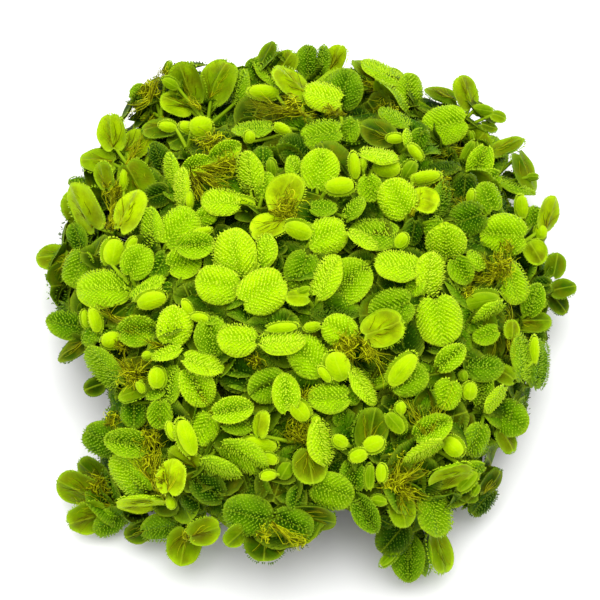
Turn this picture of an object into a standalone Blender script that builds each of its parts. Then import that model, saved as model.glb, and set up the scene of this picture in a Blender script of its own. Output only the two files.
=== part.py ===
"""Water spangles: one tangled clump of small floating ferns, heaped on a surface.

Each plant is a thin stem with whorls of rounded leaves, fused in one solid, and its root reaches
down to the brown mat of roots that holds the clump together. Metres, +Z up. The origin is the
middle of the mat's flat underside. The front of the clump looks towards -Y.
"""
import math
from collections import namedtuple

import bmesh
import bpy
from mathutils import Vector
from mathutils.bvhtree import BVHTree

# Driving dimensions
LEAF_LENGTH = 0.0124          # a grown leaf, from its base to its tip
HEAP_HALF_WIDTH = 0.064       # the rounded heap that the leaves lie on, along X
HEAP_HALF_DEPTH = 0.072       # along Y
HEAP_HALF_HEIGHT = 0.034      # along Z
HEAP_MIDDLE_HEIGHT = 0.011    # above the surface that it rests on
MAT_HALF_WIDTH = 0.047        # the mat of roots inside, along X
MAT_HALF_DEPTH = 0.054        # along Y
MAT_HEIGHT = 0.032
MAT_UNEVENNESS = 0.05         # of its reach
BLADE_THICKNESS = 0.0010
LEAF_WIDTH_SHARE = 0.94       # of a leaf's length
CROWN_DEPTH = 0.0055          # the stems run this far under the heap's surface
CROWN_RADIUS = 0.0015
MOST_LEAF_REACH = 0.0085      # of a leaf before or behind its crown, as seen
MOST_STEM_REACH = 0.012       # of a stem, between two crowns
STEM_RADIUS = 0.0006
STEM_SPACING = 0.0003         # along the root, between the stems of a whorl
GAP = 0.0004                  # between the solids of two plants, or a root and the mat

# A leaf's form: each half rises from the midrib by a fold and curls over to its margin
FOLD_ANGLE = math.radians(22)
CURL_ANGLE = math.radians(-60)
FUNNEL_CURL_ANGLE = math.radians(-20)
FUNNEL_FOLD_LIMITS = (math.radians(30), math.radians(70))
ARCH = 0.22                   # how far the tip and base bend down
MIDRIB_MIDDLE = 0.45
YOUNG_THICKNESS = 0.42        # of a young folded leaf, as a share of its width
LARGE_OUTLINE = (0, 57, 112, 180, 248, 303)    # degrees round a leaf from its tip
SMALL_OUTLINE = (0, 72, 144, 216, 288)
NECK_SHARE = 0.92             # where the stem leaves the blade, as a share of its length
NECK_CLEARANCE = 20           # degrees from the stem to the next corner of the outline
LEAST_STEM_REACH = 0.56       # from the leaf's middle to its crown, in lengths of the leaf
LARGE_PIXELS = 30             # a leaf from this length on has the finer outline
BUD_PIXELS = 27               # a leaf under this length is a bud with no solid of its own
LEAST_ROOT_PIXELS = 24        # a shorter root is part of the crown
RISE_LIMIT = 0.6              # a leaf that leans out of the heap more than this hangs down

LEAF_COLOR = (0.21, 0.40, 0.006)
ROOT_COLOR = (0.10, 0.07, 0.01)

# The picture that the leaves are read from is 600 x 600, seen from the front and above
PICTURE_MIDDLE = 300
LEAF_PIXELS = 48              # a grown leaf's length in the picture
HEAP_PIXEL = (306, 313)       # where the middle of the heap shows
VIEW_HEIGHT_ANGLE = math.radians(60)
VIEW_SPREAD = 0.36            # width of the view at a distance of one
PICTURE_WIDTH = 600

HEAP_MIDDLE = Vector((0, 0, HEAP_MIDDLE_HEIGHT))
HEAP_AXES = Vector((HEAP_HALF_WIDTH, HEAP_HALF_DEPTH, HEAP_HALF_HEIGHT))
PIXEL_SLOPE = VIEW_SPREAD / PICTURE_WIDTH
VIEW_DISTANCE = LEAF_LENGTH / LEAF_PIXELS / PIXEL_SLOPE
RIGHT = Vector((1, 0, 0))
UP = Vector((0, math.sin(VIEW_HEIGHT_ANGLE), math.cos(VIEW_HEIGHT_ANGLE)))
TOWARDS = Vector((0, -math.cos(VIEW_HEIGHT_ANGLE), math.sin(VIEW_HEIGHT_ANGLE)))
EYE = (HEAP_MIDDLE + TOWARDS * VIEW_DISTANCE
       - RIGHT * (HEAP_PIXEL[0] - PICTURE_MIDDLE) * PIXEL_SLOPE * VIEW_DISTANCE
       - UP * (PICTURE_MIDDLE - HEAP_PIXEL[1]) * PIXEL_SLOPE * VIEW_DISTANCE)

# How a leaf shows: its hairy upper side, its smooth underside, a hairy fold,
# a young folded leaf seen from outside, or an edge
HAIRY = "hairy"
UNDER = "under"
FOLD = "fold"
YOUNG = "young"
EDGE = "edge"


def whorl(crown, *leaves, roots=()):
    """Leaves and roots that grow from one point of a stem. A leaf is the picture x and y of its
    middle, its length and width there, its bearing from base to tip in degrees (0 right, 90 up),
    how it shows, and its depth of shade from 1 to 5. A root is the x and y of its two ends."""
    return crown, leaves, roots


PLANTS = [
    [whorl((127, 166), (114, 133, 38, 29, 95, UNDER, 2), (99, 163, 36, 25, 178, UNDER, 3),
           (137, 145, 36, 28, 35, UNDER, 2), (138, 180, 44, 36, -60, UNDER, 3),
           roots=[(118, 157, 145, 138), (130, 178, 145, 175)]),
     whorl((150, 100), (141, 98, 28, 24, 110, HAIRY, 3), (161, 107, 26, 18, -60, UNDER, 4),
           (168, 67, 14, 8, 70, YOUNG, 3), roots=[(150, 105, 160, 66), (150, 105, 128, 115)])],
    [whorl((200, 108), (190, 84, 46, 34, 110, UNDER, 3), (219, 83, 48, 36, 65, UNDER, 3),
           (177, 105, 34, 24, 160, UNDER, 2), (171, 83, 20, 12, 150, YOUNG, 2),
           (238, 88, 38, 14, 80, EDGE, 3), roots=[(200, 108, 190, 100)]),
     whorl((180, 135), (160, 130, 36, 20, 190, UNDER, 4), (168, 126, 20, 12, 170, YOUNG, 1),
           (201, 128, 26, 23, 10, YOUNG, 1), (188, 128, 20, 12, 160, YOUNG, 1))],
    [whorl((190, 170), (197, 165, 30, 16, 20, FOLD, 2), (225, 152, 34, 16, 25, FOLD, 2),
           (181, 188, 40, 14, 90, EDGE, 1), (190, 200, 20, 8, 90, YOUNG, 1),
           roots=[(190, 172, 237, 165), (190, 172, 230, 190), (190, 172, 205, 203)]),
     whorl((168, 182), (158, 158, 32, 20, 110, HAIRY, 5), (171, 173, 40, 14, 100, EDGE, 2),
           (158, 195, 28, 26, 200, HAIRY, 5))],
    [whorl((113, 224), (87, 208, 54, 30, 115, UNDER, 2), (131, 213, 46, 28, 60, UNDER, 1),
           (106, 176, 30, 18, 100, UNDER, 2), (124, 180, 24, 9, 85, YOUNG, 1),
           roots=[(110, 225, 113, 185)])],
    [whorl((78, 226), (80, 182, 22, 12, 170, EDGE, 4), (69, 205, 14, 12, 150, HAIRY, 4),
           (72, 217, 12, 9, 150, HAIRY, 4), (77, 238, 30, 20, 110, HAIRY, 4)),
     whorl((72, 252), (53, 258, 32, 26, 185, UNDER, 3), (77, 268, 38, 31, 250, HAIRY, 3),
           roots=[(70, 256, 60, 276)])],
    [whorl((128, 285), (104, 286, 53, 38, 180, HAIRY, 2), (112, 252, 30, 24, 80, YOUNG, 1),
           (131, 244, 17, 10, 60, YOUNG, 1), (137, 262, 36, 32, 60, FOLD, 2))],
    [whorl((150, 250), (150, 228, 40, 22, 95, HAIRY, 2), (178, 228, 46, 40, 50, HAIRY, 2),
           (206, 216, 21, 20, 20, HAIRY, 2))],
    [whorl((175, 248), (195, 245, 38, 22, 5, FOLD, 2), (202, 232, 22, 9, 15, YOUNG, 1),
           (184, 262, 36, 34, 20, FOLD, 2), (160, 265, 30, 24, 240, HAIRY, 4)),
     whorl((162, 292), (147, 288, 40, 14, 35, EDGE, 2), (151, 299, 33, 20, 15, YOUNG, 1),
           (181, 291, 18, 16, 0, HAIRY, 5), (166, 287, 14, 12, 180, HAIRY, 4))],
    [whorl((112, 318), (85, 319, 20, 10, 100, YOUNG, 1), (96, 320, 28, 14, -75, YOUNG, 1),
           (112, 341, 24, 18, 190, YOUNG, 1), (137, 331, 40, 26, 5, FOLD, 3),
           (90, 334, 24, 16, 240, HAIRY, 3), roots=[(110, 316, 101, 306), (112, 316, 142, 326)]),
     whorl((88, 335), (67, 323, 40, 28, 170, HAIRY, 4), (75, 351, 36, 18, 215, UNDER, 5))],
    [whorl((162, 345), (174, 326, 40, 37, 75, HAIRY, 1), (167, 352, 32, 12, 200, EDGE, 1),
           (147, 356, 10, 10, 200, YOUNG, 1), roots=[(162, 345, 146, 345)]),
     whorl((138, 374), (103, 369, 52, 26, 130, HAIRY, 3), (141, 387, 14, 9, 300, YOUNG, 1),
           (158, 378, 24, 19, 90, YOUNG, 1), (133, 395, 28, 16, 200, UNDER, 3),
           (155, 394, 20, 10, 20, EDGE, 3), (95, 387, 22, 20, 200, UNDER, 5),
           roots=[(138, 372, 117, 360), (138, 372, 149, 364)])],
    [whorl((166, 400), (170, 385, 40, 20, 80, HAIRY, 3), (160, 414, 30, 22, 270, FOLD, 3),
           (134, 413, 28, 28, 270, HAIRY, 4))],
    [whorl((205, 352), (203, 363, 42, 22, -15, HAIRY, 1), (197, 386, 44, 28, -60, FOLD, 1),
           (212, 338, 42, 30, 100, FOLD, 3)),
     whorl((200, 312), (188, 308, 20, 10, 120, YOUNG, 1), (200, 317, 20, 10, -10, YOUNG, 1),
           (213, 320, 20, 8, 0, EDGE, 3))],
    [whorl((257, 337), (238, 338, 40, 32, 175, HAIRY, 1), (281, 339, 46, 20, 5, HAIRY, 1),
           (282, 327, 34, 11, 5, YOUNG, 1)),
     whorl((241, 298), (262, 291, 50, 46, 30, HAIRY, 1), (218, 284, 44, 40, 165, HAIRY, 1),
           (232, 256, 52, 44, 100, HAIRY, 1), (262, 251, 36, 22, 75, HAIRY, 1))],
    [whorl((252, 206), (222, 200, 40, 26, 175, HAIRY, 1), (236, 203, 44, 18, 178, YOUNG, 1),
           (247, 173, 42, 24, 100, HAIRY, 1), (264, 186, 28, 22, 80, HAIRY, 2),
           (263, 157, 22, 22, 90, HAIRY, 4), (272, 170, 24, 12, 95, YOUNG, 3)),
     whorl((270, 212), (287, 196, 44, 36, 60, UNDER, 1), (270, 228, 40, 26, 200, UNDER, 1),
           (299, 229, 32, 20, -20, YOUNG, 1), roots=[(270, 212, 302, 206), (270, 212, 300, 220)])],
    [whorl((300, 245), (326, 235, 42, 38, 20, HAIRY, 1), (302, 270, 40, 38, 250, HAIRY, 3),
           (278, 248, 20, 15, 200, HAIRY, 5), (275, 264, 20, 18, 250, HAIRY, 5))],
    [whorl((316, 303), (325, 277, 48, 26, 65, HAIRY, 1), (347, 282, 54, 38, 40, FOLD, 2),
           (304, 291, 14, 9, 20, YOUNG, 2), (298, 298, 24, 18, 180, UNDER, 2),
           (334, 312, 50, 20, 0, HAIRY, 5))],
    [whorl((355, 335), (340, 331, 36, 34, 150, HAIRY, 1), (383, 331, 44, 38, 20, UNDER, 2),
           (312, 327, 18, 10, 190, YOUNG, 1), roots=[(355, 337, 345, 365), (357, 340, 385, 365)])],
    [whorl((335, 380), (310, 356, 46, 40, 130, HAIRY, 2), (336, 367, 34, 28, 110, YOUNG, 1),
           (325, 374, 20, 10, 130, YOUNG, 1), (330, 396, 42, 30, 180, HAIRY, 2),
           (350, 395, 22, 18, -20, HAIRY, 3))],
    [whorl((300, 400), (286, 394, 40, 22, 95, FOLD, 1), (301, 410, 26, 20, -50, YOUNG, 1),
           (268, 385, 40, 36, 200, HAIRY, 3), (316, 420, 10, 10, 200, YOUNG, 1),
           roots=[(300, 400, 308, 390)])],
    [whorl((378, 385), (363, 385, 44, 16, -55, HAIRY, 1), (378, 371, 40, 32, 50, FOLD, 2),
           (401, 369, 44, 22, 50, YOUNG, 1), (408, 378, 40, 34, 20, HAIRY, 3))],
    [whorl((412, 290), (432, 275, 44, 28, 80, HAIRY, 1), (439, 319, 50, 48, -80, HAIRY, 1),
           (398, 264, 46, 30, 170, HAIRY, 1), (392, 308, 46, 42, 200, HAIRY, 3),
           (415, 285, 24, 18, 230, HAIRY, 2)),
     whorl((449, 264), (446, 245, 34, 42, 90, HAIRY, 1), (461, 270, 30, 22, -60, FOLD, 3),
           (453, 289, 30, 24, -60, UNDER, 5))],
    [whorl((412, 215), (398, 200, 42, 40, 120, HAIRY, 1), (424, 201, 30, 26, -20, UNDER, 1),
           (425, 178, 34, 14, 10, YOUNG, 1), (443, 200, 40, 16, 80, HAIRY, 4),
           (433, 226, 22, 16, 230, HAIRY, 3), (414, 232, 28, 20, 260, HAIRY, 5),
           roots=[(412, 205, 420, 184)]),
     whorl((385, 236), (375, 232, 50, 30, 175, HAIRY, 3), (363, 239, 34, 12, -30, EDGE, 1),
           (402, 241, 18, 14, 60, YOUNG, 1))],
    [whorl((368, 172), (378, 154, 40, 12, -8, EDGE, 1), (386, 169, 32, 24, -10, YOUNG, 1),
           (370, 188, 28, 24, 280, FOLD, 2), (354, 166, 30, 12, 95, YOUNG, 1),
           (363, 164, 13, 8, 90, YOUNG, 1), (408, 170, 24, 17, 60, YOUNG, 3))],
    [whorl((318, 192), (320, 170, 42, 40, 80, FOLD, 1), (298, 172, 34, 18, 110, HAIRY, 2),
           (340, 187, 32, 19, 5, YOUNG, 1), (300, 152, 46, 32, 140, HAIRY, 5),
           (323, 207, 28, 17, 0, HAIRY, 3), (352, 209, 30, 14, 50, EDGE, 3))],
    [whorl((345, 115), (324, 95, 40, 28, 165, HAIRY, 1), (343, 90, 42, 38, 70, HAIRY, 4),
           (322, 133, 42, 30, 190, HAIRY, 3), (347, 131, 30, 20, 240, HAIRY, 3),
           roots=[(345, 115, 325, 112)])],
    [whorl((300, 113), (264, 93, 34, 16, 175, YOUNG, 1), (290, 84, 44, 24, 140, UNDER, 2),
           (305, 100, 34, 16, 130, UNDER, 3), (253, 128, 42, 14, 185, EDGE, 3),
           (282, 129, 20, 11, -25, YOUNG, 1), (249, 137, 14, 12, 90, YOUNG, 1),
           roots=[(300, 112, 252, 104), (300, 112, 256, 116), (300, 112, 312, 120)])],
    [whorl((294, 80), (269, 55, 26, 16, 60, UNDER, 4), (256, 70, 24, 20, 110, HAIRY, 4),
           (286, 66, 32, 24, 60, UNDER, 3), (309, 62, 34, 22, 90, HAIRY, 4),
           (321, 62, 34, 12, 85, EDGE, 4), (337, 60, 30, 22, 65, UNDER, 2))],
    [whorl((398, 92), (373, 77, 50, 18, 150, UNDER, 4), (385, 72, 50, 14, 150, HAIRY, 2),
           (411, 95, 42, 28, 90, HAIRY, 3), roots=[(398, 94, 358, 82), (398, 95, 375, 115)])],
    [whorl((405, 138), (396, 117, 36, 12, 150, EDGE, 3), (378, 135, 38, 28, 160, UNDER, 5),
           (395, 138, 19, 11, 180, YOUNG, 1), (408, 139, 20, 8, 95, EDGE, 1),
           (416, 152, 22, 11, -50, YOUNG, 1), (420, 140, 24, 20, 250, HAIRY, 4))],
    [whorl((470, 115), (445, 124, 46, 40, 190, HAIRY, 2), (465, 94, 36, 24, 110, UNDER, 3),
           (441, 97, 34, 14, 160, UNDER, 4), (483, 111, 24, 13, -10, YOUNG, 3),
           (498, 117, 16, 12, -20, UNDER, 3), (488, 128, 18, 10, -20, UNDER, 4),
           (471, 137, 13, 8, 270, YOUNG, 2))],
    [whorl((482, 148), (468, 153, 30, 12, 240, YOUNG, 3), (480, 164, 40, 20, 250, FOLD, 2),
           roots=[(480, 150, 436, 156)]),
     whorl((503, 174), (507, 149, 38, 15, 20, UNDER, 3), (522, 172, 44, 20, -70, UNDER, 4),
           (514, 184, 30, 28, -80, HAIRY, 5), (489, 179, 26, 17, 200, FOLD, 3),
           (533, 177, 12, 8, 0, YOUNG, 3))],
    [whorl((487, 212), (468, 219, 38, 36, 200, HAIRY, 4), (488, 198, 32, 28, 110, HAIRY, 3),
           (471, 197, 17, 9, 80, YOUNG, 1)),
     whorl((462, 168), (440, 168, 40, 12, 185, EDGE, 5), (465, 187, 30, 27, 265, HAIRY, 5))],
    [whorl((526, 242), (505, 235, 46, 44, 175, HAIRY, 2), (521, 207, 26, 14, 95, YOUNG, 1),
           (534, 217, 22, 17, 80, HAIRY, 3), (547, 214, 36, 20, 75, UNDER, 2),
           (540, 232, 16, 14, 90, YOUNG, 1), (535, 252, 26, 24, -60, UNDER, 2)),
     whorl((500, 274), (515, 282, 42, 29, -70, HAIRY, 2), (477, 260, 24, 12, 130, EDGE, 2),
           (482, 300, 40, 22, 190, YOUNG, 2), (489, 313, 38, 12, 215, EDGE, 2),
           roots=[(500, 272, 478, 256), (500, 272, 508, 254), (500, 272, 480, 284)])],
    [whorl((540, 284), (554, 266, 26, 22, 80, UNDER, 4), (563, 290, 26, 20, 10, UNDER, 4),
           (556, 303, 28, 20, -50, UNDER, 5), (541, 285, 24, 20, 180, HAIRY, 5)),
     whorl((510, 330), (532, 324, 38, 22, 0, UNDER, 4), (533, 301, 36, 18, 70, FOLD, 3),
           (511, 330, 20, 16, 90, UNDER, 2), (492, 343, 38, 20, 260, UNDER, 5),
           (486, 334, 28, 20, 200, HAIRY, 3), roots=[(510, 332, 508, 352), (510, 332, 506, 314)])],
    [whorl((515, 388), (523, 358, 50, 16, 95, HAIRY, 3), (534, 350, 30, 10, 90, YOUNG, 1),
           (541, 365, 52, 18, 85, HAIRY, 4), (505, 375, 24, 20, 150, UNDER, 3))],
    [whorl((470, 377), (483, 366, 40, 26, 0, HAIRY, 4), (450, 358, 36, 18, 40, FOLD, 2),
           (445, 345, 38, 16, 10, HAIRY, 5), (463, 376, 12, 10, 100, YOUNG, 2),
           (447, 394, 32, 30, 250, HAIRY, 2), (469, 391, 20, 16, 80, YOUNG, 1),
           (482, 389, 40, 18, 90, FOLD, 3))],
    [whorl((500, 410), (496, 399, 34, 12, 235, EDGE, 1), (508, 417, 38, 38, -40, HAIRY, 4),
           (505, 441, 28, 18, -60, UNDER, 4), (465, 423, 24, 16, 250, UNDER, 5),
           (477, 440, 36, 26, 250, HAIRY, 3))],
    [whorl((428, 440), (432, 429, 42, 22, 25, FOLD, 2), (424, 452, 44, 14, 210, EDGE, 1),
           (454, 446, 26, 20, -45, YOUNG, 1), (450, 472, 46, 20, 195, UNDER, 2),
           (396, 422, 28, 18, -50, YOUNG, 2), (400, 408, 14, 12, 90, YOUNG, 1),
           roots=[(428, 438, 408, 402), (428, 438, 436, 402)])],
    [whorl((480, 478), (489, 482, 34, 16, 50, UNDER, 5), (484, 502, 36, 20, 230, HAIRY, 5),
           (468, 482, 30, 14, 225, YOUNG, 2), (474, 470, 24, 14, 200, HAIRY, 3),
           (475, 490, 14, 9, 240, YOUNG, 2))],
    [whorl((415, 524), (408, 558, 46, 28, 270, FOLD, 4), (424, 550, 50, 14, -80, EDGE, 4),
           (436, 552, 44, 22, -80, UNDER, 3), (437, 512, 48, 34, -75, HAIRY, 3),
           (395, 537, 40, 36, 230, HAIRY, 5), (390, 557, 28, 12, 225, YOUNG, 3),
           (401, 510, 34, 28, 280, UNDER, 3))],
    [whorl((395, 485), (382, 473, 20, 12, 90, YOUNG, 1), (379, 500, 18, 12, 170, YOUNG, 2),
           (369, 477, 28, 11, 88, YOUNG, 2), (353, 476, 34, 22, 100, FOLD, 4),
           roots=[(395, 487, 424, 464), (395, 487, 422, 500), (395, 487, 400, 462)]),
     whorl((360, 448), (358, 455, 20, 15, 200, YOUNG, 1), (340, 442, 18, 14, 150, YOUNG, 1),
           (374, 445, 24, 18, 20, YOUNG, 1), (368, 430, 44, 34, 80, UNDER, 4))],
    [whorl((305, 443), (324, 442, 46, 20, -80, HAIRY, 1), (310, 465, 38, 36, 280, UNDER, 3),
           (341, 417, 20, 14, 250, HAIRY, 4), (262, 425, 28, 17, 80, UNDER, 1),
           roots=[(305, 441, 289, 428), (305, 441, 312, 426)])],
    [whorl((220, 440), (232, 410, 42, 20, 10, FOLD, 1), (238, 423, 34, 20, 0, HAIRY, 3),
           (259, 444, 40, 19, -5, YOUNG, 1), (243, 458, 54, 28, -30, HAIRY, 2),
           (270, 458, 18, 12, -20, YOUNG, 1), (203, 428, 34, 30, 240, HAIRY, 2),
           (220, 469, 44, 14, -22, EDGE, 2)),
     whorl((194, 455), (186, 438, 42, 20, 110, YOUNG, 1), (171, 431, 20, 10, 110, YOUNG, 1),
           (186, 458, 36, 24, 150, UNDER, 2))],
    [whorl((152, 480), (130, 475, 52, 36, 130, HAIRY, 2), (128, 443, 46, 22, 170, FOLD, 3),
           (143, 500, 50, 14, 180, UNDER, 1), (172, 478, 36, 30, 80, UNDER, 1),
           (171, 503, 13, 10, -70, YOUNG, 1), (104, 441, 44, 36, 160, HAIRY, 4),
           roots=[(152, 480, 134, 456), (152, 480, 165, 498), (152, 480, 162, 455)])],
    [whorl((115, 506), (78, 487, 42, 32, 155, UNDER, 3), (94, 471, 36, 24, 140, UNDER, 4),
           (87, 516, 40, 32, 195, UNDER, 3), (111, 523, 36, 26, 215, HAIRY, 4),
           roots=[(112, 506, 66, 502), (112, 506, 92, 479)])],
    [whorl((188, 522), (162, 530, 42, 26, 190, HAIRY, 4), (184, 545, 38, 36, 260, UNDER, 3),
           (203, 530, 34, 28, 20, UNDER, 3), (140, 530, 32, 22, 200, UNDER, 5)),
     whorl((214, 504), (195, 500, 30, 28, 150, HAIRY, 5), (208, 488, 40, 26, 145, FOLD, 5),
           (245, 486, 44, 28, 60, HAIRY, 5))],
    [whorl((272, 523), (248, 517, 50, 42, 165, HAIRY, 4), (235, 535, 26, 20, 220, UNDER, 3),
           (265, 545, 38, 44, 265, UNDER, 5), (292, 525, 42, 34, -25, HAIRY, 4),
           (314, 514, 44, 24, -10, UNDER, 5), roots=[(274, 524, 304, 545)])],
    [whorl((300, 482), (297, 498, 26, 20, 260, HAIRY, 4), (331, 492, 44, 38, -20, HAIRY, 3),
           (284, 470, 22, 18, 60, YOUNG, 3), (268, 475, 17, 11, 190, YOUNG, 1),
           (331, 464, 30, 26, 30, HAIRY, 5)),
     whorl((352, 505), (365, 513, 44, 18, -60, FOLD, 4), (385, 522, 16, 12, -30, HAIRY, 5))],
]

# Plants on the sides that the picture doesn't show. A whorl stands at a height from -1 to 1 and
# a bearing round the heap, and its leaves turn round it from level, in degrees
UPPER_HEIGHT = 0.32
LOWER_HEIGHT = -0.08
BACK_BEARINGS = (35, 61, 92, 122, 149)
UPPER_TURNS = (40, 128, 218, 310)
LOWER_TURNS = (8, 92, 172)
SIDE_TILTS = (24, 42, 30, 50)
SIDE_LENGTHS = (0.0124, 0.0112, 0.0118, 0.0121)
SIDE_REACH = 0.0078
SIDE_TWIST = 17

SHADE_STEP = 0.0011           # each deeper shade of green starts this much further in
SLIDE_STEP = 0.0005
MOST_SLIDE_IN = 0.0095
MOST_SLIDE_OUT = 0.0030

Leaf = namedtuple("Leaf", "middle across tip normal length width shows shade slide outline")


def sight_line(x, y):
    """The direction in which a point of the picture is seen."""
    return (RIGHT * (x - PICTURE_MIDDLE) * PIXEL_SLOPE
            + UP * (PICTURE_MIDDLE - y) * PIXEL_SLOPE - TOWARDS).normalized()


def shrunk(vector):
    """A vector in the space where the heap is a ball of radius one."""
    return Vector([v / axis for v, axis in zip(vector, HEAP_AXES)])


def outward(point):
    """The heap's outward direction at a point near its surface."""
    return shrunk(shrunk(point - HEAP_MIDDLE)).normalized()


def on_heap(x, y, crown=None, most=0.0):
    """Where the heap shows at a point of the picture, or comes nearest to that line of sight,
    but at most so far before or behind the crown that it belongs to."""
    direction = sight_line(x, y)
    start = shrunk(EYE - HEAP_MIDDLE)
    run = shrunk(direction)
    nearest = -start.dot(run) / run.length_squared
    inside = 1 - (start + run * nearest).length_squared
    distance = nearest - math.sqrt(max(inside, 0)) / run.length
    if crown:
        middle = (crown - EYE).length
        distance = min(max(distance, middle - most), middle + most)
    return EYE + direction * distance


def read_leaf(reading, crown):
    """A leaf as it shows in the picture, turned in space by how far it looks foreshortened."""
    x, y, long, wide, bearing, shows, shade = reading
    middle = on_heap(x, y, crown, MOST_LEAF_REACH)
    sight = sight_line(x, y)
    pixel = PIXEL_SLOPE * (middle - EYE).dot(-TOWARDS)
    out = outward(middle)
    full = long if shows in (YOUNG, FOLD, EDGE) else max(long, wide / LEAF_WIDTH_SHARE)
    angle = math.radians(bearing)
    along = RIGHT * math.cos(angle) + UP * math.sin(angle)
    along = (along - sight * along.dot(sight)).normalized()
    pitch = math.acos(long / full)
    if out.dot(along) > RISE_LIMIT:
        pitch = -pitch
    tip = along * math.cos(pitch) - sight * math.sin(pitch)
    normal = -sight * math.cos(pitch) - along * math.sin(pitch)
    across = tip.cross(normal)
    roll = 0
    if shows not in (YOUNG, FOLD):
        roll = math.acos(min(wide / (full * LEAF_WIDTH_SHARE), 1))
    if out.dot(across) < 0:
        roll = -roll
    across, normal = (across * math.cos(roll) - normal * math.sin(roll),
                      normal * math.cos(roll) + across * math.sin(roll))
    if shows == UNDER:
        across, normal = -across, -normal
    width = wide * pixel if shows in (YOUNG, FOLD) else full * pixel * LEAF_WIDTH_SHARE
    outline = LARGE_OUTLINE if long >= LARGE_PIXELS else SMALL_OUTLINE
    return Leaf(middle, across, tip, normal, full * pixel, width, shows, shade, sight, outline)


def side_whorl(height, bearing, turns):
    """A whorl of leaves round a crown on a side that the picture doesn't show."""
    level = math.sqrt(1 - height * height)
    angle = math.radians(bearing)
    spot = Vector((math.cos(angle) * level, math.sin(angle) * level, height))
    spot = HEAP_MIDDLE + Vector([v * axis for v, axis in zip(spot, HEAP_AXES)])
    out = outward(spot)
    side = Vector((0, 0, 1)).cross(out).normalized()
    rise = out.cross(side)
    leaves = []
    for turn, tilt, length in zip(turns, SIDE_TILTS, SIDE_LENGTHS):
        turn, tilt = math.radians(turn), math.radians(tilt)
        away = side * math.cos(turn) + rise * math.sin(turn)
        tip = away * math.cos(tilt) + out * math.sin(tilt)
        normal = out * math.cos(tilt) - away * math.sin(tilt)
        leaves.append(Leaf(spot + away * SIDE_REACH, tip.cross(normal), tip, normal, length,
                           length * LEAF_WIDTH_SHARE, HAIRY, 3, -out, LARGE_OUTLINE))
    return spot - out * CROWN_DEPTH, leaves, []


def side_plants():
    plants = []
    for number, bearing in enumerate(BACK_BEARINGS):
        turns = [turn + SIDE_TWIST * number for turn in UPPER_TURNS]
        plants.append([side_whorl(UPPER_HEIGHT, bearing, turns),
                       side_whorl(LOWER_HEIGHT, bearing + SIDE_TWIST / 2, LOWER_TURNS)])
    return plants


def blade_point(leaf, x, y):
    """A point on a leaf's middle layer: x across from -0.5 to 0.5, y from its base, 0, to its tip."""
    fold, curl, width = FOLD_ANGLE, CURL_ANGLE, leaf.width
    if leaf.shows == FOLD:
        least, most = FUNNEL_FOLD_LIMITS
        flat_width = leaf.length * LEAF_WIDTH_SHARE
        fold = min(max(math.acos(min(leaf.width / flat_width, 1)), least), most)
        curl, width = FUNNEL_CURL_ANGLE, flat_width
    elif leaf.shows == YOUNG:
        fold, curl = 0, -FOLD_ANGLE
    bend = 2 * curl
    end = fold + bend * abs(x)
    reach = (math.sin(end) - math.sin(fold)) / bend
    height = (math.cos(fold) - math.cos(end)) / bend
    return (leaf.across * math.copysign(reach, x) * width + leaf.tip * (y - 0.5) * leaf.length
            + leaf.normal * (height * width - ARCH * (y - MIDRIB_MIDDLE) ** 2 * leaf.length))


def core_of(leaf):
    """The point on the midrib that a leaf's lens is thickest at."""
    return leaf.middle + blade_point(leaf, 0, MIDRIB_MIDDLE)


def seen_flat(leaf, offset):
    """How far an offset runs across and along a leaf, in widths and lengths of its outline."""
    width = 2 * blade_point(leaf, 0.5, 0.5).dot(leaf.across)
    return offset.dot(leaf.across) / width, offset.dot(leaf.tip) / leaf.length


def blade(leaf, crown, margin=0.0):
    """Corners and faces of a leaf's solid: a lens on its outline, drawn out to a thin stem that
    ends in the crown, and grown by a margin all round. With no crown it has no stem."""
    core = core_of(leaf)
    radius = 0.5 + margin / leaf.length
    corners = []
    for degrees in leaf.outline:
        angle = math.radians(degrees)
        spot = blade_point(leaf, radius * math.sin(angle), 0.5 + radius * math.cos(angle))
        corners.append((degrees, leaf.middle + spot))
    if crown:
        x, y = seen_flat(leaf, crown - core)
        stem = math.degrees(math.atan2(x, y)) % 360
        corners = [(d, c) for d, c in corners if abs((d - stem + 180) % 360 - 180) > NECK_CLEARANCE]
        side = math.degrees((STEM_RADIUS + margin) / (NECK_SHARE * leaf.length / 2))
        for degrees in (stem - side, stem + side):
            angle = math.radians(degrees)
            x = NECK_SHARE / 2 * math.sin(angle)
            y = 0.5 + NECK_SHARE / 2 * math.cos(angle)
            corners.append((degrees % 360, leaf.middle + blade_point(leaf, x, y)))
        corners.append((stem, crown + (crown - core).normalized() * (STEM_RADIUS + margin)))
        corners.sort(key=lambda corner: corner[0])
    corners = [corner for degrees, corner in corners]
    thickness = leaf.width * YOUNG_THICKNESS if leaf.shows == YOUNG else BLADE_THICKNESS
    half = leaf.normal * (thickness / 2 + margin)
    count = len(corners)
    faces = [(count, (i + 1) % count, i) for i in range(count)]
    faces += [(count + 1, i, (i + 1) % count) for i in range(count)]
    return corners + [core + half, core - half], faces


def square_to(direction):
    """Two directions at right angles to one another and to the given one."""
    first = direction.orthogonal().normalized()
    return first, direction.cross(first).normalized()


def spike(start, end, radius):
    """A three-sided stem that narrows from its start to a point."""
    first, second = square_to((end - start).normalized())
    ring = [start + (first * math.cos(a) + second * math.sin(a)) * radius
            for a in (0, math.tau / 3, 2 * math.tau / 3)]
    return ring + [end], [(2, 1, 0), (0, 1, 3), (1, 2, 3), (2, 0, 3)]


def spindle(start, end, radius, widest):
    """A three-sided root tuft with a point at each end."""
    belly = start.lerp(end, widest)
    ring = spike(belly, end, radius)[0][:3]
    faces = [(3, (i + 1) % 3, i) for i in range(3)] + [(4, i, (i + 1) % 3) for i in range(3)]
    return ring + [start, end], faces


def tree(shape):
    return BVHTree.FromPolygons(*shape)


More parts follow.
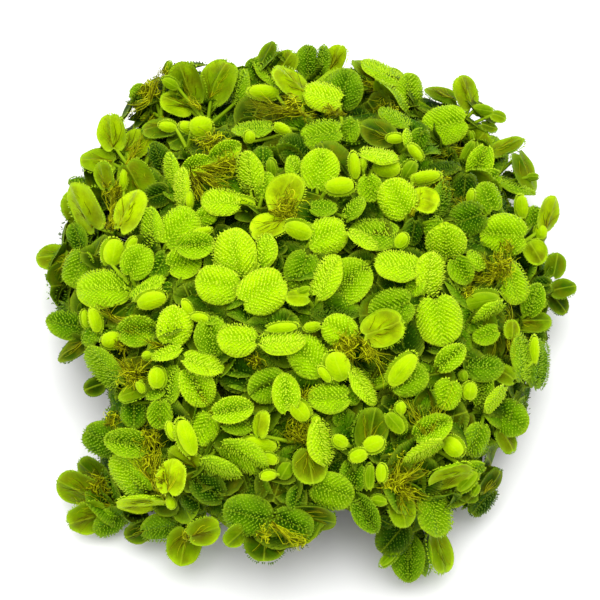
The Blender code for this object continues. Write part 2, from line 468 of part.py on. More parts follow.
def mat_shape():
    """The mat of roots: a low uneven dome with a flat underside."""
    profile = [(0, 0.74), (0.16, 0.93), (0.38, 1.0), (0.62, 0.88), (0.82, 0.62), (0.95, 0.30)]
    sides = 18
    corners = []
    for level, (height, reach) in enumerate(profile):
        for side in range(sides):
            angle = math.tau * (side + 0.5 * (level % 2)) / sides
            uneven = 1 + MAT_UNEVENNESS * math.sin(5 * angle + 2 * level) * math.cos(2 * angle + level)
            corners.append(Vector((MAT_HALF_WIDTH * reach * uneven * math.cos(angle),
                                   MAT_HALF_DEPTH * reach * uneven * math.sin(angle),
                                   MAT_HEIGHT * height)))
    faces = []
    for level in range(len(profile) - 1):
        for side in range(sides):
            a, b = level * sides + side, level * sides + (side + 1) % sides
            c, d = a + sides, b + sides
            faces += [(a, b, d), (a, d, c)] if level % 2 else [(a, b, c), (b, d, c)]
    top = (len(profile) - 1) * sides
    corners += [Vector((0, 0, 0)), Vector((0, 0, MAT_HEIGHT))]
    for side in range(sides):
        following = (side + 1) % sides
        faces.append((following, side, len(corners) - 2))
        faces.append((top + side, top + following, len(corners) - 1))
    return corners, faces


def read_whorl(reading, first_spot):
    """The surface point, leaves and visible roots of a whorl that the picture shows."""
    crown, leaves, roots = reading
    spot = on_heap(*crown, first_spot, MOST_STEM_REACH)
    tips = []
    for x1, y1, x2, y2 in roots:
        if math.hypot(x2 - x1, y2 - y1) >= LEAST_ROOT_PIXELS:
            tip = on_heap(x2, y2, spot, MOST_LEAF_REACH)
            tips.append(tip - outward(tip) * CROWN_DEPTH / 2)
    leaves = [read_leaf(leaf, spot) for leaf in leaves if leaf[2] >= BUD_PIXELS]
    return spot, leaves, tips


def read_plant(readings):
    """The crown, leaves and roots of each whorl on one stem."""
    whorls, first_spot = [], None
    for reading in readings:
        spot, leaves, tips = read_whorl(reading, first_spot)
        first_spot = first_spot or spot
        whorls.append((spot - outward(spot) * CROWN_DEPTH, leaves, tips))
    return whorls


def grow(mat):
    """The fixed solids of each plant, and its leaves with the crown that each belongs to."""
    plants = [read_plant(readings) for readings in PLANTS] + side_plants()
    mat_tree = tree(mat)
    fixed, loose = [], []
    for number, whorls in enumerate(plants):
        shapes = []
        for crown, leaves, roots in whorls:
            inward = (mat_middle(crown) - crown).normalized()
            meets = mat_tree.ray_cast(crown, inward)[0] - inward * GAP
            top = crown - inward * CROWN_RADIUS
            shapes.append(spindle(top, meets, CROWN_RADIUS, CROWN_RADIUS / (meets - top).length))
            shapes += [spike(crown, tip, STEM_RADIUS) for tip in roots]
            for place, leaf in enumerate(leaves):
                loose.append((number, crown + inward * STEM_SPACING * place, leaf))
        for (start, *_), (end, *_) in zip(whorls, whorls[1:]):
            shapes.append(spike(start, end, STEM_RADIUS))
        fixed.append(shapes)
    return fixed, loose


def mat_middle(point):
    """The point inside the mat that a root at the given point grows towards."""
    return Vector((point.x * 0.3, point.y * 0.3, MAT_HEIGHT * 0.4))


def leaf_shapes(crown, leaf, margin=0.0):
    """A leaf with its stem. A crown that is straight under the leaf gets a separate stem."""
    core = core_of(leaf)
    if math.hypot(*seen_flat(leaf, crown - core)) > LEAST_STEM_REACH:
        return [blade(leaf, crown, margin)]
    return [blade(leaf, None, margin), spike(crown, core, STEM_RADIUS + margin)]


def slides():
    """Distances to try along a leaf's line, inwards first."""
    steps = round(MOST_SLIDE_IN / SLIDE_STEP)
    back = round(MOST_SLIDE_OUT / SLIDE_STEP)
    return [i * SLIDE_STEP for i in range(steps)] + [-i * SLIDE_STEP for i in range(1, back)]


def settle(fixed, loose, mat):
    """Each leaf slides along the line on which it is seen until it is clear of the other plants,
    the brightest leaves first, so that nearer ones stay in front. A leaf that finds no room is
    left out. Returns the shapes of each plant."""
    placed = [(-1, tree(mat))]
    placed += [(number, tree(shape)) for number, shapes in enumerate(fixed) for shape in shapes]
    blades = []
    order = sorted(range(len(loose)), key=lambda i: (loose[i][2].shade, i))
    for index in order:
        number, crown, leaf = loose[index]
        for slide, crossing in [(s, False) for s in slides()] + [(s, True) for s in slides()]:
            shift = (leaf.shade - 3) * SHADE_STEP + slide
            moved = leaf._replace(middle=leaf.middle + leaf.slide * shift)
            shapes, wide = leaf_shapes(crown, moved), leaf_shapes(crown, moved, GAP)
            if min(corner.z for corner in wide[0][0]) < 0:
                continue
            trees = [tree(shape) for shape in shapes + wide]
            if any(owner != number and own.overlap(other) for owner, other in placed for own in trees):
                continue
            bare = tree(blade(moved, None))
            if not crossing and any(owner == number and bare.overlap(other) for owner, other in blades):
                continue
            fixed[number] += shapes
            placed += [(number, tree(shape)) for shape in shapes]
            blades.append((number, bare))
            break
    return fixed


def mesh_object(name, shape, material=None):
    corners, faces = shape
    mesh = bpy.data.meshes.new(name)
    mesh.from_pydata([tuple(corner) for corner in corners], [], faces)
    if material:
        mesh.materials.append(material)
    made = bpy.data.objects.new(name, mesh)
    bpy.context.scene.collection.objects.link(made)
    return made


def united(whole, others, solver):
    """The mesh of an object united with a collection of others."""
    union = whole.modifiers.new("Fuse", "BOOLEAN")
    union.operation = "UNION"
    union.operand_type = "COLLECTION"
    union.collection = others
    union.solver = solver
    view_layer = bpy.context.evaluated_depsgraph_get()
    mesh = bpy.data.meshes.new_from_object(whole.evaluated_get(view_layer))
    whole.modifiers.clear()
    return mesh


def is_closed(mesh):
    check = bmesh.new()
    check.from_mesh(mesh)
    closed = all(edge.is_manifold for edge in check.edges)
    check.free()
    return closed


def body_from(corner):
    """All corners of a mesh that join on to the given one."""
    body, waiting = {corner}, [corner]
    while waiting:
        for edge in waiting.pop().link_edges:
            for other in edge.verts:
                if other not in body:
                    body.add(other)
                    waiting.append(other)
    return body


def fill_pockets(mesh):
    """Takes out the small closed pockets that crossing leaves leave inside a solid."""
    whole = bmesh.new()
    whole.from_mesh(mesh)
    left, bodies = set(whole.verts), []
    while left:
        corner = min(left, key=lambda v: v.index)
        bodies.append(body_from(corner))
        left -= bodies[-1]
    largest = max(bodies, key=len)
    pockets = [corner for corner in whole.verts if corner not in largest]
    bmesh.ops.delete(whole, geom=pockets, context="VERTS")
    whole.to_mesh(mesh)
    whole.free()


def fuse(name, shapes, material):
    """One solid from shapes that run into each other."""
    whole = mesh_object(name, shapes[0], material)
    others = bpy.data.collections.new(name + "_parts")
    for number, shape in enumerate(shapes[1:]):
        piece = mesh_object(f"{name}_piece_{number}", shape)
        bpy.context.scene.collection.objects.unlink(piece)
        others.objects.link(piece)
    bpy.context.scene.collection.children.link(others)
    mesh = united(whole, others, "EXACT")
    if not is_closed(mesh):
        mesh = united(whole, others, "MANIFOLD")
    fill_pockets(mesh)
    whole.data = mesh
    for piece in list(others.objects):
        bpy.data.objects.remove(piece)
    bpy.data.collections.remove(others)


def finish(name, color, roughness):
    material = bpy.data.materials.new(name)
    material.use_nodes = True
    shader = material.node_tree.nodes["Principled BSDF"]
    shader.inputs["Base Color"].default_value = (*color, 1)
    shader.inputs["Roughness"].default_value = roughness
    shader.inputs["Metallic"].default_value = 0
    return material


def build():
    for old in list(bpy.data.objects):
        bpy.data.objects.remove(old)
    leaf_green = finish("leaf_green", LEAF_COLOR, 0.5)
    root_brown = finish("root_brown", ROOT_COLOR, 0.8)
    mat = mat_shape()
    mesh_object("root_mat", mat, root_brown)
    fixed, loose = grow(mat)
    for number, shapes in enumerate(settle(fixed, loose, mat), start=1):
        fuse(f"spangle_{number:02d}", shapes, leaf_green)


build()
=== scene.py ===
"""The looks of a clump of water spangles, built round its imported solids. Metres, +Z up."""

import math
from collections import namedtuple

import bpy
import numpy as np
from mathutils import Matrix, Vector
from mathutils.kdtree import KDTree


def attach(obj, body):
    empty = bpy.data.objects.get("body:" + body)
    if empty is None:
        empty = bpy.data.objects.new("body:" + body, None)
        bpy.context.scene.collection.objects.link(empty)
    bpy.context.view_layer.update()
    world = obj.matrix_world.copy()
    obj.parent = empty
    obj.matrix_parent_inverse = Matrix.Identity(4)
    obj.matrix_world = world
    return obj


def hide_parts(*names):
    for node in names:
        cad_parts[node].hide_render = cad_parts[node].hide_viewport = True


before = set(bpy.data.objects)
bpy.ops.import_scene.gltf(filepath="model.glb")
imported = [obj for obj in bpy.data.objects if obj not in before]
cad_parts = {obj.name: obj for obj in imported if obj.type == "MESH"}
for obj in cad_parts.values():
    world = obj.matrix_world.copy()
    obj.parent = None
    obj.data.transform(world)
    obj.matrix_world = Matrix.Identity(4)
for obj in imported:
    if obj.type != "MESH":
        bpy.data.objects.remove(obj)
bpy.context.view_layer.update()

# Sizes of the clump, as its solids have them
LEAF_LENGTH = 0.0124          # a grown leaf, from its base to its tip
HEAP_HALF_WIDTH = 0.064       # the rounded heap that the leaves lie on, along X
HEAP_HALF_DEPTH = 0.072       # along Y
HEAP_HALF_HEIGHT = 0.034      # along Z
HEAP_MIDDLE_HEIGHT = 0.011    # above the surface that it rests on
MAT_HALF_WIDTH = 0.047        # the mat of roots inside, along X
MAT_HALF_DEPTH = 0.054        # along Y
MAT_HEIGHT = 0.032
LEAF_WIDTH_SHARE = 0.94       # of a leaf's length
CROWN_DEPTH = 0.0055          # the stems run this far under the heap's surface
MOST_LEAF_REACH = 0.0085      # of a leaf before or behind its crown, as seen
MOST_STEM_REACH = 0.012       # of a stem, between two crowns
BLADE_THICKNESS = 0.0010      # of the solids

# A leaf's form: each half rises from the midrib by a fold and curls over to its margin
FOLD_ANGLE = math.radians(22)
CURL_ANGLE = math.radians(-60)
FUNNEL_CURL_ANGLE = math.radians(-20)
FUNNEL_FOLD_LIMITS = (math.radians(30), math.radians(70))
ARCH = 0.22                   # how far the tip and base bend down
MIDRIB_MIDDLE = 0.45
YOUNG_THICKNESS = 0.42        # of a young folded leaf, as a share of its width
LARGE_OUTLINE = (0, 57, 112, 180, 248, 303)    # degrees round a leaf from its tip
SMALL_OUTLINE = (0, 72, 144, 216, 288)
LARGE_PIXELS = 30             # a leaf from this length on has the finer outline
RISE_LIMIT = 0.6              # a leaf that leans out of the heap more than this hangs down

# The picture that the leaves are read from is 600 x 600, seen from the front and above
PICTURE_MIDDLE = 300
LEAF_PIXELS = 48              # a grown leaf's length in the picture
HEAP_PIXEL = (306, 313)       # where the middle of the heap shows
VIEW_HEIGHT_ANGLE = math.radians(60)
VIEW_SPREAD = 0.36            # width of the view at a distance of one
PICTURE_WIDTH = 600

HEAP_MIDDLE = Vector((0, 0, HEAP_MIDDLE_HEIGHT))
HEAP_AXES = Vector((HEAP_HALF_WIDTH, HEAP_HALF_DEPTH, HEAP_HALF_HEIGHT))
PIXEL_SLOPE = VIEW_SPREAD / PICTURE_WIDTH
VIEW_DISTANCE = LEAF_LENGTH / LEAF_PIXELS / PIXEL_SLOPE
RIGHT = Vector((1, 0, 0))
UP = Vector((0, math.sin(VIEW_HEIGHT_ANGLE), math.cos(VIEW_HEIGHT_ANGLE)))
TOWARDS = Vector((0, -math.cos(VIEW_HEIGHT_ANGLE), math.sin(VIEW_HEIGHT_ANGLE)))
EYE = (HEAP_MIDDLE + TOWARDS * VIEW_DISTANCE
       - RIGHT * (HEAP_PIXEL[0] - PICTURE_MIDDLE) * PIXEL_SLOPE * VIEW_DISTANCE
       - UP * (PICTURE_MIDDLE - HEAP_PIXEL[1]) * PIXEL_SLOPE * VIEW_DISTANCE)

# How a leaf shows: its hairy upper side, its smooth underside, a hairy fold,
# a young folded leaf seen from outside, or an edge
HAIRY = "hairy"
UNDER = "under"
FOLD = "fold"
YOUNG = "young"
EDGE = "edge"


def whorl(crown, *leaves, roots=()):
    """Leaves and roots that grow from one point of a stem. A leaf is the picture x and y of its
    middle, its length and width there, its bearing from base to tip in degrees (0 right, 90 up),
    how it shows, and its depth of shade from 1 to 5. A root is the x and y of its two ends."""
    return crown, leaves, roots


PLANTS = [
    [whorl((127, 166), (114, 133, 38, 29, 95, UNDER, 2), (99, 163, 36, 25, 178, UNDER, 3),
           (137, 145, 36, 28, 35, UNDER, 2), (138, 180, 44, 36, -60, UNDER, 3),
           roots=[(118, 157, 145, 138), (130, 178, 145, 175)]),
     whorl((150, 100), (141, 98, 28, 24, 110, HAIRY, 3), (161, 107, 26, 18, -60, UNDER, 4),
           (168, 67, 14, 8, 70, YOUNG, 3), roots=[(150, 105, 160, 66), (150, 105, 128, 115)])],
    [whorl((200, 108), (190, 84, 46, 34, 110, UNDER, 3), (219, 83, 48, 36, 65, UNDER, 3),
           (177, 105, 34, 24, 160, UNDER, 2), (171, 83, 20, 12, 150, YOUNG, 2),
           (238, 88, 38, 14, 80, EDGE, 3), roots=[(200, 108, 190, 100)]),
     whorl((180, 135), (160, 130, 36, 20, 190, UNDER, 4), (168, 126, 20, 12, 170, YOUNG, 1),
           (201, 128, 26, 23, 10, YOUNG, 1), (188, 128, 20, 12, 160, YOUNG, 1))],
    [whorl((190, 170), (197, 165, 30, 16, 20, FOLD, 2), (225, 152, 34, 16, 25, FOLD, 2),
           (181, 188, 40, 14, 90, EDGE, 1), (190, 200, 20, 8, 90, YOUNG, 1),
           roots=[(190, 172, 237, 165), (190, 172, 230, 190), (190, 172, 205, 203)]),
     whorl((168, 182), (158, 158, 32, 20, 110, HAIRY, 5), (171, 173, 40, 14, 100, EDGE, 2),
           (158, 195, 28, 26, 200, HAIRY, 5))],
    [whorl((113, 224), (87, 208, 54, 30, 115, UNDER, 2), (131, 213, 46, 28, 60, UNDER, 1),
           (106, 176, 30, 18, 100, UNDER, 2), (124, 180, 24, 9, 85, YOUNG, 1),
           roots=[(110, 225, 113, 185)])],
    [whorl((78, 226), (80, 182, 22, 12, 170, EDGE, 4), (69, 205, 14, 12, 150, HAIRY, 4),
           (72, 217, 12, 9, 150, HAIRY, 4), (77, 238, 30, 20, 110, HAIRY, 4)),
     whorl((72, 252), (53, 258, 32, 26, 185, UNDER, 3), (77, 268, 38, 31, 250, HAIRY, 3),
           roots=[(70, 256, 60, 276)])],
    [whorl((128, 285), (104, 286, 53, 38, 180, HAIRY, 2), (112, 252, 30, 24, 80, YOUNG, 1),
           (131, 244, 17, 10, 60, YOUNG, 1), (137, 262, 36, 32, 60, FOLD, 2))],
    [whorl((150, 250), (150, 228, 40, 22, 95, HAIRY, 2), (178, 228, 46, 40, 50, HAIRY, 2),
           (206, 216, 21, 20, 20, HAIRY, 2))],
    [whorl((175, 248), (195, 245, 38, 22, 5, FOLD, 2), (202, 232, 22, 9, 15, YOUNG, 1),
           (184, 262, 36, 34, 20, FOLD, 2), (160, 265, 30, 24, 240, HAIRY, 4)),
     whorl((162, 292), (147, 288, 40, 14, 35, EDGE, 2), (151, 299, 33, 20, 15, YOUNG, 1),
           (181, 291, 18, 16, 0, HAIRY, 5), (166, 287, 14, 12, 180, HAIRY, 4))],
    [whorl((112, 318), (85, 319, 20, 10, 100, YOUNG, 1), (96, 320, 28, 14, -75, YOUNG, 1),
           (112, 341, 24, 18, 190, YOUNG, 1), (137, 331, 40, 26, 5, FOLD, 3),
           (90, 334, 24, 16, 240, HAIRY, 3), roots=[(110, 316, 101, 306), (112, 316, 142, 326)]),
     whorl((88, 335), (67, 323, 40, 28, 170, HAIRY, 4), (75, 351, 36, 18, 215, UNDER, 5))],
    [whorl((162, 345), (174, 326, 40, 37, 75, HAIRY, 1), (167, 352, 32, 12, 200, EDGE, 1),
           (147, 356, 10, 10, 200, YOUNG, 1), roots=[(162, 345, 146, 345)]),
     whorl((138, 374), (103, 369, 52, 26, 130, HAIRY, 3), (141, 387, 14, 9, 300, YOUNG, 1),
           (158, 378, 24, 19, 90, YOUNG, 1), (133, 395, 28, 16, 200, UNDER, 3),
           (155, 394, 20, 10, 20, EDGE, 3), (95, 387, 22, 20, 200, UNDER, 5),
           roots=[(138, 372, 117, 360), (138, 372, 149, 364)])],
    [whorl((166, 400), (170, 385, 40, 20, 80, HAIRY, 3), (160, 414, 30, 22, 270, FOLD, 3),
           (134, 413, 28, 28, 270, HAIRY, 4))],
    [whorl((205, 352), (203, 363, 42, 22, -15, HAIRY, 1), (197, 386, 44, 28, -60, FOLD, 1),
           (212, 338, 42, 30, 100, FOLD, 3)),
     whorl((200, 312), (188, 308, 20, 10, 120, YOUNG, 1), (200, 317, 20, 10, -10, YOUNG, 1),
           (213, 320, 20, 8, 0, EDGE, 3))],
    [whorl((257, 337), (238, 338, 40, 32, 175, HAIRY, 1), (281, 339, 46, 20, 5, HAIRY, 1),
           (282, 327, 34, 11, 5, YOUNG, 1)),
     whorl((241, 298), (262, 291, 50, 46, 30, HAIRY, 1), (218, 284, 44, 40, 165, HAIRY, 1),
           (232, 256, 52, 44, 100, HAIRY, 1), (262, 251, 36, 22, 75, HAIRY, 1))],
    [whorl((252, 206), (222, 200, 40, 26, 175, HAIRY, 1), (236, 203, 44, 18, 178, YOUNG, 1),
           (247, 173, 42, 24, 100, HAIRY, 1), (264, 186, 28, 22, 80, HAIRY, 2),
           (263, 157, 22, 22, 90, HAIRY, 4), (272, 170, 24, 12, 95, YOUNG, 3)),
     whorl((270, 212), (287, 196, 44, 36, 60, UNDER, 1), (270, 228, 40, 26, 200, UNDER, 1),
           (299, 229, 32, 20, -20, YOUNG, 1), roots=[(270, 212, 302, 206), (270, 212, 300, 220)])],
    [whorl((300, 245), (326, 235, 42, 38, 20, HAIRY, 1), (302, 270, 40, 38, 250, HAIRY, 3),
           (278, 248, 20, 15, 200, HAIRY, 5), (275, 264, 20, 18, 250, HAIRY, 5))],
    [whorl((316, 303), (325, 277, 48, 26, 65, HAIRY, 1), (347, 282, 54, 38, 40, FOLD, 2),
           (304, 291, 14, 9, 20, YOUNG, 2), (298, 298, 24, 18, 180, UNDER, 2),
           (334, 312, 50, 20, 0, HAIRY, 5))],
    [whorl((355, 335), (340, 331, 36, 34, 150, HAIRY, 1), (383, 331, 44, 38, 20, UNDER, 2),
           (312, 327, 18, 10, 190, YOUNG, 1), roots=[(355, 337, 345, 365), (357, 340, 385, 365)])],
    [whorl((335, 380), (310, 356, 46, 40, 130, HAIRY, 2), (336, 367, 34, 28, 110, YOUNG, 1),
           (325, 374, 20, 10, 130, YOUNG, 1), (330, 396, 42, 30, 180, HAIRY, 2),
           (350, 395, 22, 18, -20, HAIRY, 3))],
    [whorl((300, 400), (286, 394, 40, 22, 95, FOLD, 1), (301, 410, 26, 20, -50, YOUNG, 1),
           (268, 385, 40, 36, 200, HAIRY, 3), (316, 420, 10, 10, 200, YOUNG, 1),
           roots=[(300, 400, 308, 390)])],
    [whorl((378, 385), (363, 385, 44, 16, -55, HAIRY, 1), (378, 371, 40, 32, 50, FOLD, 2),
           (401, 369, 44, 22, 50, YOUNG, 1), (408, 378, 40, 34, 20, HAIRY, 3))],
    [whorl((412, 290), (432, 275, 44, 28, 80, HAIRY, 1), (439, 319, 50, 48, -80, HAIRY, 1),
           (398, 264, 46, 30, 170, HAIRY, 1), (392, 308, 46, 42, 200, HAIRY, 3),
           (415, 285, 24, 18, 230, HAIRY, 2)),
     whorl((449, 264), (446, 245, 34, 42, 90, HAIRY, 1), (461, 270, 30, 22, -60, FOLD, 3),
           (453, 289, 30, 24, -60, UNDER, 5))],
    [whorl((412, 215), (398, 200, 42, 40, 120, HAIRY, 1), (424, 201, 30, 26, -20, UNDER, 1),
           (425, 178, 34, 14, 10, YOUNG, 1), (443, 200, 40, 16, 80, HAIRY, 4),
           (433, 226, 22, 16, 230, HAIRY, 3), (414, 232, 28, 20, 260, HAIRY, 5),
           roots=[(412, 205, 420, 184)]),
     whorl((385, 236), (375, 232, 50, 30, 175, HAIRY, 3), (363, 239, 34, 12, -30, EDGE, 1),
           (402, 241, 18, 14, 60, YOUNG, 1))],
    [whorl((368, 172), (378, 154, 40, 12, -8, EDGE, 1), (386, 169, 32, 24, -10, YOUNG, 1),
           (370, 188, 28, 24, 280, FOLD, 2), (354, 166, 30, 12, 95, YOUNG, 1),
           (363, 164, 13, 8, 90, YOUNG, 1), (408, 170, 24, 17, 60, YOUNG, 3))],
    [whorl((318, 192), (320, 170, 42, 40, 80, FOLD, 1), (298, 172, 34, 18, 110, HAIRY, 2),
           (340, 187, 32, 19, 5, YOUNG, 1), (300, 152, 46, 32, 140, HAIRY, 5),
           (323, 207, 28, 17, 0, HAIRY, 3), (352, 209, 30, 14, 50, EDGE, 3))],
    [whorl((345, 115), (324, 95, 40, 28, 165, HAIRY, 1), (343, 90, 42, 38, 70, HAIRY, 4),
           (322, 133, 42, 30, 190, HAIRY, 3), (347, 131, 30, 20, 240, HAIRY, 3),
           roots=[(345, 115, 325, 112)])],
    [whorl((300, 113), (264, 93, 34, 16, 175, YOUNG, 1), (290, 84, 44, 24, 140, UNDER, 2),
           (305, 100, 34, 16, 130, UNDER, 3), (253, 128, 42, 14, 185, EDGE, 3),
           (282, 129, 20, 11, -25, YOUNG, 1), (249, 137, 14, 12, 90, YOUNG, 1),
           roots=[(300, 112, 252, 104), (300, 112, 256, 116), (300, 112, 312, 120)])],
    [whorl((294, 80), (269, 55, 26, 16, 60, UNDER, 4), (256, 70, 24, 20, 110, HAIRY, 4),
           (286, 66, 32, 24, 60, UNDER, 3), (309, 62, 34, 22, 90, HAIRY, 4),
           (321, 62, 34, 12, 85, EDGE, 4), (337, 60, 30, 22, 65, UNDER, 2))],
    [whorl((398, 92), (373, 77, 50, 18, 150, UNDER, 4), (385, 72, 50, 14, 150, HAIRY, 2),
           (411, 95, 42, 28, 90, HAIRY, 3), roots=[(398, 94, 358, 82), (398, 95, 375, 115)])],
    [whorl((405, 138), (396, 117, 36, 12, 150, EDGE, 3), (378, 135, 38, 28, 160, UNDER, 5),
           (395, 138, 19, 11, 180, YOUNG, 1), (408, 139, 20, 8, 95, EDGE, 1),
           (416, 152, 22, 11, -50, YOUNG, 1), (420, 140, 24, 20, 250, HAIRY, 4))],
    [whorl((470, 115), (445, 124, 46, 40, 190, HAIRY, 2), (465, 94, 36, 24, 110, UNDER, 3),
           (441, 97, 34, 14, 160, UNDER, 4), (483, 111, 24, 13, -10, YOUNG, 3),
           (498, 117, 16, 12, -20, UNDER, 3), (488, 128, 18, 10, -20, UNDER, 4),
           (471, 137, 13, 8, 270, YOUNG, 2))],
    [whorl((482, 148), (468, 153, 30, 12, 240, YOUNG, 3), (480, 164, 40, 20, 250, FOLD, 2),
           roots=[(480, 150, 436, 156)]),
     whorl((503, 174), (507, 149, 38, 15, 20, UNDER, 3), (522, 172, 44, 20, -70, UNDER, 4),
           (514, 184, 30, 28, -80, HAIRY, 5), (489, 179, 26, 17, 200, FOLD, 3),
           (533, 177, 12, 8, 0, YOUNG, 3))],
    [whorl((487, 212), (468, 219, 38, 36, 200, HAIRY, 4), (488, 198, 32, 28, 110, HAIRY, 3),
           (471, 197, 17, 9, 80, YOUNG, 1)),
     whorl((462, 168), (440, 168, 40, 12, 185, EDGE, 5), (465, 187, 30, 27, 265, HAIRY, 5))],
    [whorl((526, 242), (505, 235, 46, 44, 175, HAIRY, 2), (521, 207, 26, 14, 95, YOUNG, 1),
           (534, 217, 22, 17, 80, HAIRY, 3), (547, 214, 36, 20, 75, UNDER, 2),
           (540, 232, 16, 14, 90, YOUNG, 1), (535, 252, 26, 24, -60, UNDER, 2)),
     whorl((500, 274), (515, 282, 42, 29, -70, HAIRY, 2), (477, 260, 24, 12, 130, EDGE, 2),
           (482, 300, 40, 22, 190, YOUNG, 2), (489, 313, 38, 12, 215, EDGE, 2),
           roots=[(500, 272, 478, 256), (500, 272, 508, 254), (500, 272, 480, 284)])],
    [whorl((540, 284), (554, 266, 26, 22, 80, UNDER, 4), (563, 290, 26, 20, 10, UNDER, 4),
           (556, 303, 28, 20, -50, UNDER, 5), (541, 285, 24, 20, 180, HAIRY, 5)),
     whorl((510, 330), (532, 324, 38, 22, 0, UNDER, 4), (533, 301, 36, 18, 70, FOLD, 3),
           (511, 330, 20, 16, 90, UNDER, 2), (492, 343, 38, 20, 260, UNDER, 5),
           (486, 334, 28, 20, 200, HAIRY, 3), roots=[(510, 332, 508, 352), (510, 332, 506, 314)])],
    [whorl((515, 388), (523, 358, 50, 16, 95, HAIRY, 3), (534, 350, 30, 10, 90, YOUNG, 1),
           (541, 365, 52, 18, 85, HAIRY, 4), (505, 375, 24, 20, 150, UNDER, 3))],
    [whorl((470, 377), (483, 366, 40, 26, 0, HAIRY, 4), (450, 358, 36, 18, 40, FOLD, 2),
           (445, 345, 38, 16, 10, HAIRY, 5), (463, 376, 12, 10, 100, YOUNG, 2),
           (447, 394, 32, 30, 250, HAIRY, 2), (469, 391, 20, 16, 80, YOUNG, 1),
           (482, 389, 40, 18, 90, FOLD, 3))],
    [whorl((500, 410), (496, 399, 34, 12, 235, EDGE, 1), (508, 417, 38, 38, -40, HAIRY, 4),
           (505, 441, 28, 18, -60, UNDER, 4), (465, 423, 24, 16, 250, UNDER, 5),
           (477, 440, 36, 26, 250, HAIRY, 3))],
    [whorl((428, 440), (432, 429, 42, 22, 25, FOLD, 2), (424, 452, 44, 14, 210, EDGE, 1),
           (454, 446, 26, 20, -45, YOUNG, 1), (450, 472, 46, 20, 195, UNDER, 2),
           (396, 422, 28, 18, -50, YOUNG, 2), (400, 408, 14, 12, 90, YOUNG, 1),
           roots=[(428, 438, 408, 402), (428, 438, 436, 402)])],
    [whorl((480, 478), (489, 482, 34, 16, 50, UNDER, 5), (484, 502, 36, 20, 230, HAIRY, 5),
           (468, 482, 30, 14, 225, YOUNG, 2), (474, 470, 24, 14, 200, HAIRY, 3),
           (475, 490, 14, 9, 240, YOUNG, 2))],
    [whorl((415, 524), (408, 558, 46, 28, 270, FOLD, 4), (424, 550, 50, 14, -80, EDGE, 4),
           (436, 552, 44, 22, -80, UNDER, 3), (437, 512, 48, 34, -75, HAIRY, 3),
           (395, 537, 40, 36, 230, HAIRY, 5), (390, 557, 28, 12, 225, YOUNG, 3),
           (401, 510, 34, 28, 280, UNDER, 3))],
    [whorl((395, 485), (382, 473, 20, 12, 90, YOUNG, 1), (379, 500, 18, 12, 170, YOUNG, 2),
           (369, 477, 28, 11, 88, YOUNG, 2), (353, 476, 34, 22, 100, FOLD, 4),
           roots=[(395, 487, 424, 464), (395, 487, 422, 500), (395, 487, 400, 462)]),
     whorl((360, 448), (358, 455, 20, 15, 200, YOUNG, 1), (340, 442, 18, 14, 150, YOUNG, 1),
           (374, 445, 24, 18, 20, YOUNG, 1), (368, 430, 44, 34, 80, UNDER, 4))],
    [whorl((305, 443), (324, 442, 46, 20, -80, HAIRY, 1), (310, 465, 38, 36, 280, UNDER, 3),
           (341, 417, 20, 14, 250, HAIRY, 4), (262, 425, 28, 17, 80, UNDER, 1),
           roots=[(305, 441, 289, 428), (305, 441, 312, 426)])],
    [whorl((220, 440), (232, 410, 42, 20, 10, FOLD, 1), (238, 423, 34, 20, 0, HAIRY, 3),
           (259, 444, 40, 19, -5, YOUNG, 1), (243, 458, 54, 28, -30, HAIRY, 2),
           (270, 458, 18, 12, -20, YOUNG, 1), (203, 428, 34, 30, 240, HAIRY, 2),
           (220, 469, 44, 14, -22, EDGE, 2)),
     whorl((194, 455), (186, 438, 42, 20, 110, YOUNG, 1), (171, 431, 20, 10, 110, YOUNG, 1),
           (186, 458, 36, 24, 150, UNDER, 2))],
    [whorl((152, 480), (130, 475, 52, 36, 130, HAIRY, 2), (128, 443, 46, 22, 170, FOLD, 3),
           (143, 500, 50, 14, 180, UNDER, 1), (172, 478, 36, 30, 80, UNDER, 1),
           (171, 503, 13, 10, -70, YOUNG, 1), (104, 441, 44, 36, 160, HAIRY, 4),
           roots=[(152, 480, 134, 456), (152, 480, 165, 498), (152, 480, 162, 455)])],
    [whorl((115, 506), (78, 487, 42, 32, 155, UNDER, 3), (94, 471, 36, 24, 140, UNDER, 4),
           (87, 516, 40, 32, 195, UNDER, 3), (111, 523, 36, 26, 215, HAIRY, 4),
           roots=[(112, 506, 66, 502), (112, 506, 92, 479)])],
    [whorl((188, 522), (162, 530, 42, 26, 190, HAIRY, 4), (184, 545, 38, 36, 260, UNDER, 3),
           (203, 530, 34, 28, 20, UNDER, 3), (140, 530, 32, 22, 200, UNDER, 5)),
     whorl((214, 504), (195, 500, 30, 28, 150, HAIRY, 5), (208, 488, 40, 26, 145, FOLD, 5),
           (245, 486, 44, 28, 60, HAIRY, 5))],
    [whorl((272, 523), (248, 517, 50, 42, 165, HAIRY, 4), (235, 535, 26, 20, 220, UNDER, 3),
           (265, 545, 38, 44, 265, UNDER, 5), (292, 525, 42, 34, -25, HAIRY, 4),
           (314, 514, 44, 24, -10, UNDER, 5), roots=[(274, 524, 304, 545)])],
    [whorl((300, 482), (297, 498, 26, 20, 260, HAIRY, 4), (331, 492, 44, 38, -20, HAIRY, 3),
           (284, 470, 22, 18, 60, YOUNG, 3), (268, 475, 17, 11, 190, YOUNG, 1),
           (331, 464, 30, 26, 30, HAIRY, 5)),
     whorl((352, 505), (365, 513, 44, 18, -60, FOLD, 4), (385, 522, 16, 12, -30, HAIRY, 5))],
]

